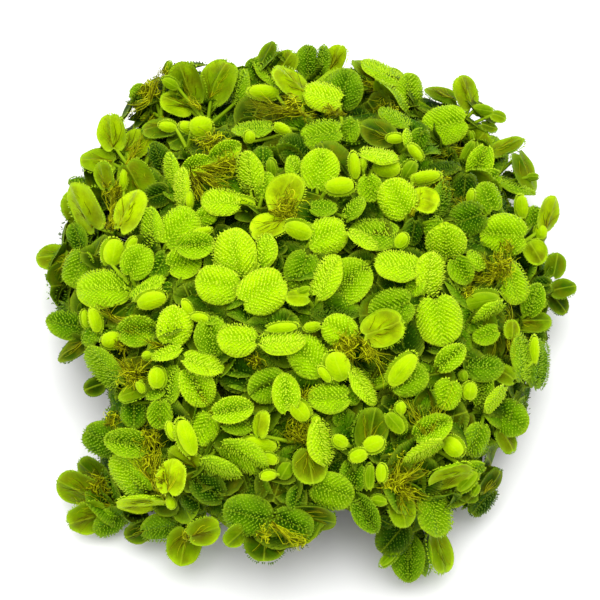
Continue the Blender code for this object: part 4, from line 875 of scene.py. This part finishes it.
def hair_tree():
    """Stands a thin pointed hair on every point, along its direction and as long as it says."""
    tree = new_tree("Leaf hairs")
    tree_input(tree, "Base radius", "NodeSocketFloat", HAIR_RADIUS)
    tree_input(tree, "Seed", "NodeSocketInt", HAIR_SEED)
    nodes, links = tree.nodes, tree.links
    given = nodes.new("NodeGroupInput")
    cone = nodes.new("GeometryNodeMeshCone")
    cone.fill_type = "NONE"
    cone.inputs["Vertices"].default_value = 3
    cone.inputs["Radius Top"].default_value = 0.0
    cone.inputs["Radius Bottom"].default_value = 1.0
    cone.inputs["Depth"].default_value = 1.0
    store = nodes.new("GeometryNodeStoreNamedAttribute")
    store.data_type = "FLOAT"
    store.domain = "POINT"
    store.inputs["Name"].default_value = "tip"
    position = nodes.new("GeometryNodeInputPosition")
    apart = nodes.new("ShaderNodeSeparateXYZ")
    links.new(cone.outputs["Mesh"], store.inputs["Geometry"])
    links.new(position.outputs["Position"], apart.inputs["Vector"])
    links.new(apart.outputs["Z"], store.inputs["Value"])
    align = nodes.new("FunctionNodeAlignRotationToVector")
    align.axis = "Z"
    links.new(attribute_node(tree, "direction", "FLOAT_VECTOR"), align.inputs["Vector"])
    vary = nodes.new("FunctionNodeRandomValue")
    vary.data_type = "FLOAT"
    vary.inputs[2].default_value = 0.8
    vary.inputs[3].default_value = 1.2
    links.new(given.outputs["Seed"], vary.inputs["Seed"])
    wide = nodes.new("ShaderNodeMath")
    wide.operation = "MULTIPLY"
    links.new(given.outputs["Base radius"], wide.inputs[0])
    links.new(vary.outputs[1], wide.inputs[1])
    scale = nodes.new("ShaderNodeCombineXYZ")
    links.new(wide.outputs[0], scale.inputs["X"])
    links.new(wide.outputs[0], scale.inputs["Y"])
    links.new(attribute_node(tree, "size"), scale.inputs["Z"])
    stand = nodes.new("GeometryNodeInstanceOnPoints")
    links.new(given.outputs["Geometry"], stand.inputs["Points"])
    links.new(store.outputs["Geometry"], stand.inputs["Instance"])
    links.new(align.outputs["Rotation"], stand.inputs["Rotation"])
    links.new(scale.outputs["Vector"], stand.inputs["Scale"])
    return end_tree(tree, stand.outputs["Instances"], given)


def thread_tree():
    """Draws every line of edges out to a tube as thick as its points say."""
    tree = new_tree("Threads")
    tree_input(tree, "Sides", "NodeSocketInt", STEM_SIDES)
    nodes, links = tree.nodes, tree.links
    given = nodes.new("NodeGroupInput")
    curve = nodes.new("GeometryNodeMeshToCurve")
    circle = nodes.new("GeometryNodeCurvePrimitiveCircle")
    circle.inputs["Radius"].default_value = 1.0
    tube = nodes.new("GeometryNodeCurveToMesh")
    tube.inputs["Fill Caps"].default_value = True
    links.new(given.outputs["Geometry"], curve.inputs["Mesh"])
    links.new(attribute_node(tree, "size"), tube.inputs["Scale"])
    links.new(given.outputs["Sides"], circle.inputs["Resolution"])
    links.new(curve.outputs["Curve"], tube.inputs["Curve"])
    links.new(circle.outputs["Curve"], tube.inputs["Profile Curve"])
    return end_tree(tree, tube.outputs["Mesh"], given)


def grown(tree, points, edges, values, material, settings):
    """The mesh that a tree grows on points or lines, as a form."""
    mesh = bpy.data.meshes.new("Roots of " + tree.name)
    mesh.from_pydata(points.tolist(), edges, [])
    for name, data in values.items():
        kind = "FLOAT_VECTOR" if data.ndim == 2 else "FLOAT"
        key = "vector" if data.ndim == 2 else "value"
        mesh.attributes.new(name, kind, "POINT").data.foreach_set(key, data.astype(np.float32).ravel())
    holder = bpy.data.objects.new(tree.name, mesh)
    bpy.context.scene.collection.objects.link(holder)
    growth = holder.modifiers.new(tree.name, "NODES")
    growth.node_group = tree
    given = {"Material": material, **settings}
    for socket in tree.interface.items_tree:
        if socket.in_out == "INPUT" and socket.name in given:
            growth[socket.identifier] = given[socket.name]
    view_layer = bpy.context.evaluated_depsgraph_get()
    made = bpy.data.meshes.new_from_object(holder.evaluated_get(view_layer))
    holder.modifiers.clear()
    bpy.data.objects.remove(holder)
    bpy.data.meshes.remove(mesh)
    made.calc_loop_triangles()
    co = np.empty(len(made.vertices) * 3)
    made.vertices.foreach_get("co", co)
    faces = np.empty(len(made.loop_triangles) * 3, int)
    made.loop_triangles.foreach_get("vertices", faces)
    count = len(made.vertices)

    def value_of(name):
        found = np.zeros(count, np.float32)
        if name in made.attributes:
            made.attributes[name].data.foreach_get("value", found)
        return found

    rows = np.stack([value_of("tone"), value_of("under"), value_of("rim"), value_of("tip")], 1)
    bpy.data.meshes.remove(made)
    return Form(co.reshape(-1, 3), faces.reshape(-1, 3), np.zeros((count, 2)), rows)


def hairs_on(roots):
    """Hairs of several leaves as one form."""
    points, directions, sizes, tones = (np.concatenate(rows) for rows in zip(*roots))
    return grown(hairs_tree, points, [], {"direction": directions, "size": sizes, "tone": tones},
                 hair_look, {"Base radius": HAIR_RADIUS, "Seed": HAIR_SEED})


def threads(lines, sides):
    """Tubes along lines. A line is its points, its radius at each end, and its tone."""
    points, sizes, tones, tips, edges = [], [], [], [], []
    start = 0
    for line, first, last, tone in lines:
        count = len(line)
        points.append(line)
        sizes.append(np.linspace(first, last, count))
        tones.append(np.full(count, tone))
        tips.append(np.linspace(0, 1, count))
        edges += [(start + i, start + i + 1) for i in range(count - 1)]
        start += count
    values = {"size": np.concatenate(sizes), "tone": np.concatenate(tones),
              "tip": np.concatenate(tips)}
    return grown(threads_tree, np.vstack(points), edges, values, root_look, {"Sides": sides})


def piece(name, forms, looks, node):
    """One named mesh of several forms, each with its own look, that rides in place of a node."""
    starts = np.cumsum([0] + [len(form.points) for form in forms])
    points = np.vstack([form.points for form in forms])
    faces = np.vstack([form.faces + start for form, start in zip(forms, starts)])
    values = np.vstack([form.values for form in forms])
    spots = np.vstack([form.spot for form in forms])
    mesh = bpy.data.meshes.new(name)
    mesh.from_pydata(points.tolist(), [], faces.tolist())
    materials = list(dict.fromkeys(looks))
    for material in materials:
        mesh.materials.append(material)
    numbers = np.repeat([materials.index(look) for look in looks], [len(form.faces) for form in forms])
    mesh.polygons.foreach_set("material_index", numbers.astype(np.int32))
    mesh.polygons.foreach_set("use_smooth", np.ones(len(faces), bool))
    for column, value in enumerate(("tone", "under", "rim", "tip")):
        attribute = mesh.attributes.new(value, "FLOAT", "POINT")
        attribute.data.foreach_set("value", values[:, column].astype(np.float32))
    layer = mesh.uv_layers.new(name="Blade")
    loops = np.empty(len(mesh.loops), np.int32)
    mesh.loops.foreach_get("vertex_index", loops)
    layer.data.foreach_set("uv", (spots[loops] + (0.5, 0)).astype(np.float32).ravel())
    mesh.update()
    made = bpy.data.objects.new(name, mesh)
    bpy.context.scene.collection.objects.link(made)
    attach(made, "root")
    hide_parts(node)
    return made


# Looks


class Look:
    """A procedural material, with short ways to add its nodes."""

    def __init__(self, name):
        self.material = bpy.data.materials.new(name)
        self.material.use_nodes = True
        self.tree = self.material.node_tree
        self.shader = self.tree.nodes["Principled BSDF"]

    def put(self, socket, value):
        if isinstance(value, bpy.types.NodeSocket):
            self.tree.links.new(value, socket)
        else:
            socket.default_value = value

    def math(self, operation, *values):
        node = self.tree.nodes.new("ShaderNodeMath")
        node.operation = operation
        for socket, value in zip(node.inputs, values):
            self.put(socket, value)
        return node.outputs[0]

    def mix(self, share, first, second):
        node = self.tree.nodes.new("ShaderNodeMix")
        node.data_type = "RGBA"
        self.put(node.inputs["Factor"], share)
        self.put(node.inputs[6], first)
        self.put(node.inputs[7], second)
        return node.outputs[2]

    def ramp(self, value, *stops):
        node = self.tree.nodes.new("ShaderNodeValToRGB")
        self.put(node.inputs["Fac"], value)
        points = node.color_ramp.elements
        while len(points) < len(stops):
            points.new(0.5)
        for point, (place, color) in zip(points, stops):
            point.position = place
            point.color = (*color, 1)
        return node.outputs["Color"]

    def attribute(self, name):
        node = self.tree.nodes.new("ShaderNodeAttribute")
        node.attribute_name = name
        return node.outputs["Fac"]

    def noise(self, scale, detail=2.0):
        place = self.tree.nodes.new("ShaderNodeTexCoord")
        node = self.tree.nodes.new("ShaderNodeTexNoise")
        self.put(node.inputs["Vector"], place.outputs["Object"])
        self.put(node.inputs["Scale"], scale)
        self.put(node.inputs["Detail"], detail)
        return node.outputs["Fac"]

    def blade_spot(self):
        node = self.tree.nodes.new("ShaderNodeUVMap")
        node.uv_map = "Blade"
        apart = self.tree.nodes.new("ShaderNodeSeparateXYZ")
        self.put(apart.inputs[0], node.outputs["UV"])
        return self.math("ABSOLUTE", self.math("SUBTRACT", apart.outputs["X"], 0.5)), apart.outputs["Y"]

    def bump(self, height, strength, distance):
        node = self.tree.nodes.new("ShaderNodeBump")
        self.put(node.inputs["Height"], height)
        self.put(node.inputs["Strength"], strength)
        self.put(node.inputs["Distance"], distance)
        self.put(self.shader.inputs["Normal"], node.outputs["Normal"])

    def set(self, **values):
        for name, value in values.items():
            self.put(self.shader.inputs[name.replace("_", " ")], value)
        return self.material


def leaf_material():
    look = Look("Green leaf")
    side, along = look.blade_spot()
    patches = look.math("SUBTRACT", look.noise(260, 3), 0.5)
    tone = look.math("ADD", look.attribute("tone"), look.math("MULTIPLY", patches, 0.5))
    tone = look.math("ADD", tone, look.math("MULTIPLY", look.math("SUBTRACT", along, 0.5), TIP_PALENESS))
    # painted shade: darker along the midrib's crease
    middle = look.math("MAXIMUM", look.math("SUBTRACT", 1, look.math("MULTIPLY", side, 6)), 0)
    tone = look.math("SUBTRACT", tone, look.math("MULTIPLY", middle, MIDRIB_CREASE_SHADE))
    under = look.attribute("under")
    color = look.mix(under, look.ramp(tone, *UPPER_COLORS), look.ramp(tone, *UNDER_COLORS))
    place = look.math("SUBTRACT", along, look.math("MULTIPLY", side, ROW_SLANT))
    place = look.math("ADD", place, look.math("MULTIPLY", look.noise(330), ROW_WAVER))
    row = look.math("COSINE", look.math("MULTIPLY", place, math.tau * VEINS))
    beads = look.math("ADD", look.math("MULTIPLY", look.noise(1100), 0.9), 0.4)
    ridge = look.math("MULTIPLY", look.math("ADD", look.math("MULTIPLY", row, 0.5), 0.5), beads)
    hairy = look.math("SUBTRACT", 1, look.math("MINIMUM", look.math("MULTIPLY", under, 1.4), 0.88))
    # painted shade: the troughs between the raised rows are darker
    trough_shade = look.math("MULTIPLY", look.math("SUBTRACT", 1, ridge), hairy)
    stained = look.math("MULTIPLY", look.math("MAXIMUM", look.math("SUBTRACT", under, 0.7), 0), 3)
    stain = look.math("SUBTRACT", look.noise(220, 5), 0.45)
    stain = look.math("MULTIPLY", look.math("MAXIMUM", stain, 0), 3.5)
    color = look.mix(look.math("MULTIPLY", stained, stain), color, STAIN_COLOR)
    color = look.mix(look.math("MULTIPLY", trough_shade, 0.55), color, look.mix(0.5, color, TROUGH_SHADE_COLOR))
    rib = look.math("SUBTRACT", 1, look.math("MULTIPLY", side, 30))
    rib = look.math("POWER", look.math("MAXIMUM", rib, 0), 1.5)
    color = look.mix(look.math("MULTIPLY", rib, 0.3), color, RIB_COLOR)
    color = look.mix(look.math("MULTIPLY", look.attribute("rim"), 0.3), color, RIM_COLOR)
    grain = look.math("MULTIPLY", look.noise(1600), 0.6)
    look.bump(look.math("ADD", look.math("MULTIPLY", ridge, hairy), grain), 0.6, 0.0004)
    rough = look.math("ADD", 0.60, look.math("MULTIPLY", look.noise(600), 0.2))
    rough = look.math("SUBTRACT", rough, look.math("MULTIPLY", tone, 0.3))
    return look.set(Base_Color=color, Roughness=rough, Subsurface_Weight=0.25,
                    Subsurface_Scale=0.0010, Subsurface_Radius=(0.7, 1.0, 0.05),
                    Specular_IOR_Level=0.14, Specular_Tint=GLOSS_COLOR)


def hair_material():
    look = Look("Pale leaf hairs")
    tip = look.attribute("tip")
    tone = look.attribute("tone")
    base = look.ramp(tone, *UPPER_COLORS)
    pale = look.ramp(tone, *HAIR_TIP_COLORS)
    # pale tips: their own colour with a painted highlight
    color = look.mix(look.math("POWER", tip, 0.6), base, pale)
    color = look.mix(look.math("MULTIPLY", look.noise(900), 0.3), color, pale)
    return look.set(Base_Color=color, Roughness=0.4,
                    Specular_IOR_Level=0.4, Specular_Tint=GLOSS_COLOR)


def root_material():
    look = Look("Root fibres")
    tone = look.math("ADD", look.attribute("tone"),
                     look.math("MULTIPLY", look.math("SUBTRACT", look.noise(500, 3), 0.5), 0.5))
    color = look.ramp(tone, *ROOT_COLORS)
    look.bump(look.noise(2500), 0.5, 0.0001)
    return look.set(Base_Color=color, Roughness=0.55, Specular_IOR_Level=0.25,
                    Specular_Tint=GLOSS_COLOR)


def mat_material():
    look = Look("Matted roots")
    tone = look.math("MULTIPLY", look.noise(420, 4), look.noise(90, 3))
    # dark brown roots with the heap's inner shade painted in
    color = look.ramp(tone, *MAT_ROOT_AND_SHADE_COLORS)
    look.bump(look.noise(1300, 4), 0.9, 0.0006)
    return look.set(Base_Color=color, Roughness=0.8, Specular_IOR_Level=0.03)


def tone_of(leaf, chance):
    """How light a leaf's green is, from 0 to 1, with its depth of shade painted in as darker green."""
    level = SHADE_TONES[leaf.shade]
    level -= YOUNG_DIMMING[leaf.shade] if leaf.shows == YOUNG else 0
    return min(max(level + chance.normal(0, TONE_SPREAD), LEAST_TONE), 1.0)


def dress_plant(name, whorls, chance):
    """Leaves, hairs and stems of one plant as a piece, and its roots as another."""
    blades, hairs, stems, fibres = [], [], [], []
    for crown, spot, leaves, tips in whorls:
        for leaf in leaves:
            tone = tone_of(leaf, chance)
            if leaf.shows == YOUNG:
                blades += young_forms(leaf, chance, tone)
            else:
                blades.append(blade_form(leaf, chance, tone))
            hairs.append(hair_roots(leaf, chance, tone))
            stems.append((stem_line(crown, leaf), *STEM_RADII, tone))
            if leaf.shows == UNDER and leaf.length > LEAF_LENGTH * CLING_LENGTH:
                for line in clinging_lines(leaf, chance):
                    fibres.append((line, *CLING_RADII, chance.uniform(*CLING_TONES)))
        inner = mat_middle(crown)
        for line in tuft_lines(crown, crown.lerp(inner, 0.4), crown.lerp(inner, 0.7),
                               CROWN_ROOTS, CROWN_ROOT_SPREAD, chance):
            fibres.append((line, *CROWN_ROOT_RADII, chance.uniform(*CROWN_ROOT_TONES)))
        for tip in tips:
            start = spot + TOWARDS * TUFT_RISES[0]
            end = tip + TOWARDS * TUFT_RISES[1]
            through = start.lerp(end, 0.5) + TOWARDS * TUFT_RISES[2]
            count = round(TUFT_FIBRES * max((end - start).length / LEAF_LENGTH, 0.5))
            lines = tuft_lines(start, through, end, count, TUFT_SPREAD, chance)
            for line in filter(inside_outline, lines):
                fibres.append((line, *TUFT_RADII, chance.uniform(*TUFT_TONES)))
    for (first, *_), (second, *_) in zip(whorls, whorls[1:]):
        stems.append((bow(first, first.lerp(second, 0.5), second, 6), *RUNNER_RADII, RUNNER_TONE))
    stem_form = threads(stems, STEM_SIDES)
    piece(name + "_leaves", blades + [stem_form, hairs_on(hairs)],
          [leaf_look] * len(blades) + [stem_look, hair_look], name)
    piece(name + "_roots", [threads(fibres, FIBRE_SIDES)], [root_look], name)


def stem_material():
    look = Look("Pale stems")
    color = look.ramp(look.attribute("tone"), *STEM_COLORS)
    color = look.mix(look.math("MULTIPLY", look.noise(700), 0.4), color, STEM_SPECKLE_COLOR)
    return look.set(Base_Color=color, Roughness=0.5,
                    Specular_IOR_Level=0.3, Specular_Tint=GLOSS_COLOR)


def picture_place(point):
    """Where a point shows in the picture, and how far away it is."""
    sight = point - EYE
    distance = -sight.dot(TOWARDS)
    return (PICTURE_MIDDLE + sight.dot(RIGHT) / distance / PIXEL_SLOPE,
            PICTURE_MIDDLE - sight.dot(UP) / distance / PIXEL_SLOPE, distance)


def depth_behind(point, leaves_in_front):
    """How much further from the eye a leaf at a point must be to show behind the pictured ones."""
    x, y, distance = picture_place(point)
    most = 0
    for other_x, other_y, other_distance, reach in leaves_in_front:
        if math.hypot(x - other_x, y - other_y) < reach + FILL_REACH:
            most = max(most, other_distance + FILL_GAP - distance)
    return most


def in_dark_gap(point):
    """1 where the picture shows a dark gap between leaves, else 0."""
    x, y, _ = picture_place(point)
    return int(any(math.hypot(x - gap_x, y - gap_y) < reach for gap_x, gap_y, reach in DARK_GAPS))


def inside_outline(points):
    """True if a form shows within the outline of the pictured clump."""
    for point in points:
        x, y, _ = picture_place(Vector(point))
        crossings = 0
        for (x1, y1), (x2, y2) in zip(OUTLINE_PIXELS, OUTLINE_PIXELS[1:] + OUTLINE_PIXELS[:1]):
            if (y1 > y) != (y2 > y) and x < x1 + (y - y1) * (x2 - x1) / (y2 - y1):
                crossings += 1
        if crossings % 2 == 0:
            return False
    return True


def shaded_leaf(middle, out, depth, chance):
    """A leaf in the shade at a place, turned at random about the heap's outward direction."""
    normal = (out + Vector(chance.normal(0, 1, 3)) * SHADED_TILT).normalized()
    tip = normal.orthogonal().normalized()
    tip.rotate(Matrix.Rotation(chance.uniform(0, math.tau), 3, normal))
    length = chance.uniform(*SHADED_LENGTHS)
    kind = HAIRY if chance.random() < SHADED_HAIRY_SHARE else UNDER
    if kind == UNDER:
        normal = -normal
    leaf = Leaf(middle, tip.cross(normal), tip, normal, length, length * LEAF_WIDTH_SHARE,
                kind, 5, -out, LARGE_OUTLINE)
    # painted shade: deeper leaves and leaves in a dark gap get darker tones
    tone = chance.uniform(*SHADED_TONES[(depth > SHADE_DEPTH) + (depth > 1)])
    hairs = [rows[::SHADED_HAIR_STEP] for rows in hair_roots(leaf, chance, tone)]
    return middle, blade_form(leaf, chance, tone, PLAIN_GRID), hairs


def shaded_leaves(pictured, chance):
    """Leaves behind the pictured ones, in their shade, and all round the heap."""
    seen = [(*picture_place(leaf.middle), leaf.length / LEAF_LENGTH * LEAF_PIXELS / 2 * 0.8)
            for leaf in pictured]
    made = []
    for _ in range(FILL_LEAVES):
        point = on_heap(*chance.uniform(*FILL_PIXELS, 2))
        out = outward(point)
        depth = chance.uniform(*SHADED_DEPTHS)
        middle = point - out * depth
        behind = depth_behind(middle, seen)
        gap = in_dark_gap(middle)
        if behind < MOST_FILL_DEPTH:
            sunk = middle - TOWARDS * (behind + GAP_DEPTH * gap)
            made.append(shaded_leaf(sunk, out, depth + behind + gap, chance))
    for _ in range(ROUND_LEAVES):
        height, bearing = chance.uniform(*ROUND_HEIGHTS), chance.uniform(0, math.tau)
        point = round_heap(height, bearing)
        out, depth = outward(point), chance.uniform(*SHADED_DEPTHS)
        middle = point - out * depth
        if out.dot(TOWARDS) > 0:
            depth += depth_behind(middle, seen)
            middle = point - out * depth
        made.append(shaded_leaf(middle, out, depth, chance))
    return [row for row in made
            if row[1].points[:, 2].min() > LOWEST_POINT and inside_outline(row[1].points)]


def mat_form(chance):
    """The mat of roots as an uneven dome with a flat underside."""
    sectors, rings = MAT_GRID
    angle, radius, faces = disc_grid(sectors, rings)
    fall = radius * MAT_FALL_ANGLE
    phases = chance.uniform(0, 6, 6)
    uneven = MAT_REACH + 0.04 * np.sin(5 * angle + phases[0]) * np.cos(4 * fall + phases[1])
    uneven += 0.03 * np.sin(11 * angle + phases[2] + 4 * fall) + 0.02 * np.sin(17 * angle + 9 * fall)
    reach = np.sin(fall) ** 0.8 * uneven
    x = MAT_HALF_WIDTH * reach * np.cos(angle)
    y = MAT_HALF_DEPTH * reach * np.sin(angle)
    up = np.cos(fall)
    z = MAT_HEIGHT * (0.38 + up * np.where(up > 0, 0.60, 0.38 / -math.cos(MAT_FALL_ANGLE)))
    z = np.maximum(z, 0.0002)
    points = np.vstack([np.stack([x, y, z], 1), [(0, 0, 0.0001)]])
    last = len(points) - 1
    rim = last - sectors + np.arange(sectors)
    base = np.stack([np.full(sectors, last), np.roll(rim, -1), rim], 1)
    values = np.zeros((len(points), 4))
    return Form(points, np.vstack([faces, base[:, ::-1]]), np.zeros((len(points), 2)), values)


def mat_fibres(chance):
    """Loose root fibres that lie over the mat and stand out of it."""
    lines = []
    for _ in range(MAT_FIBRES):
        height, bearing = chance.uniform(0.02, 0.98), chance.uniform(0, math.tau)
        level = math.sqrt(1 - height * height)
        start = np.array((MAT_HALF_WIDTH * level * math.cos(bearing),
                          MAT_HALF_DEPTH * level * math.sin(bearing), MAT_HEIGHT * height))
        run = chance.normal(0, 0.004, 3)
        end = start * (1 + chance.uniform(0.02, 0.14)) + run
        middle = (start + end) / 2 + chance.normal(0, 0.003, 3)
        line = bow(start, middle, end, 6)
        line[:, 2] = np.maximum(line[:, 2], LOWEST_POINT)
        if inside_outline(line):
            lines.append((line, *MAT_FIBRE_RADII, chance.uniform(*MAT_FIBRE_TONES)))
    return lines


def tangles(chance):
    """The brown and yellow tangles of root fibres that show between and on the leaves."""
    lines = []
    for x, y, reach, rise in TANGLES:
        size = reach * PIXEL_SLOPE * VIEW_DISTANCE
        heart = on_heap(x, y) + TOWARDS * rise
        for _ in range(round(TANGLE_FIBRES * (reach / 12) ** 2)):
            turn = chance.uniform(0, math.tau)
            away = RIGHT * math.cos(turn) + UP * math.sin(turn)
            start = np.array(heart + away * size * chance.uniform(-0.6, 0.6))
            start += chance.normal(0, size * 0.25, 3)
            end = np.array(heart + away * size * chance.uniform(0.4, 1.05))
            end += chance.normal(0, size * 0.25, 3)
            bend = (start + end) / 2 + chance.normal(0, size * 0.4, 3)
            line = bow(start, bend, end, 7)
            t = np.linspace(0, 1, 7)[:, None]
            line += np.sin(t * chance.uniform(5, 12, 3) + chance.uniform(0, 6, 3)) * size * 0.10
            line[:, 2] = np.maximum(line[:, 2], LOWEST_POINT)
            if inside_outline(line):
                lines.append((line, *TANGLE_RADII, chance.uniform(*TANGLE_TONES)))
    return lines


def add_camera():
    data = bpy.data.cameras.new("Camera")
    data.sensor_width = SENSOR_WIDTH
    data.lens = SENSOR_WIDTH / VIEW_SPREAD
    data.clip_start = 0.01
    camera = bpy.data.objects.new("Camera", data)
    bpy.context.scene.collection.objects.link(camera)
    turn = Matrix((RIGHT, UP, TOWARDS)).transposed().to_4x4()
    camera.matrix_world = Matrix.Translation(EYE) @ turn
    bpy.context.scene.camera = camera


def add_studio():
    """A white floor, an even white surround and one large soft light above and behind."""
    world = bpy.data.worlds.new("Studio")
    world.use_nodes = True
    world.node_tree.nodes["Background"].inputs["Color"].default_value = (1, 1, 1, 1)
    world.node_tree.nodes["Background"].inputs["Strength"].default_value = WORLD_STRENGTH
    bpy.context.scene.world = world
    data = bpy.data.lights.new("Soft light", "AREA")
    data.shape = "RECTANGLE"
    data.size, data.size_y = LIGHT_SIZE
    data.energy = LIGHT_POWER
    light = bpy.data.objects.new("Soft light", data)
    light.location = LIGHT_PLACE
    aim = Vector(LIGHT_PLACE) - Vector(LIGHT_AIM)
    light.rotation_euler = aim.to_track_quat("Z", "Y").to_euler()
    bpy.context.scene.collection.objects.link(light)
    mesh = bpy.data.meshes.new("Floor")
    r = FLOOR_HALF_SIZE
    mesh.from_pydata([(-r, -r, 0), (r, -r, 0), (r, r, 0), (-r, r, 0)], [], [(0, 1, 2, 3)])
    look = Look("White floor")
    tint = look.mix(look.noise(3), *FLOOR_COLORS)
    mesh.materials.append(look.set(Base_Color=tint, Roughness=0.8, Specular_IOR_Level=0.1))
    floor = bpy.data.objects.new("Floor", mesh)
    bpy.context.scene.collection.objects.link(floor)


add_camera()
add_studio()
bpy.context.scene.view_settings.view_transform = "Standard"
leaf_look, hair_look, stem_look = leaf_material(), hair_material(), stem_material()
root_look, mat_look = root_material(), mat_material()
hairs_tree, threads_tree = hair_tree(), thread_tree()

chance = np.random.default_rng(CHANCE_SEED)
pictured = []
hidden = side_plants()
for number, readings in enumerate(PLANTS + hidden, 1):
    name = f"spangle_{number:02d}"
    corners = node_corners(name)
    read = hidden_plant if number > len(PLANTS) else read_plant
    whorls = read(readings, corners)
    dress_plant(name, whorls, chance)
    if number <= len(PLANTS):
        pictured += [leaf for _, _, leaves, _ in whorls for leaf in leaves]
shaded = shaded_leaves(pictured, chance)
for quarter, (left, near) in enumerate(((1, 1), (1, 0), (0, 1), (0, 0)), 1):
    here = [row for row in shaded if (row[0].x < 0, row[0].y < 0) == (left, near)]
    forms = [form for middle, form, hairs in here] + [hairs_on([row[2] for row in here])]
    piece(f"shaded_leaves_{quarter}", forms, [leaf_look] * len(here) + [hair_look], "root_mat")
piece("matted_roots", [mat_form(chance), threads(mat_fibres(chance), FIBRE_SIDES)], [mat_look, root_look],
      "root_mat")
piece("tangled_roots", [threads(tangles(chance), FIBRE_SIDES)], [root_look], "root_mat")

bpy.context.view_layer.update()
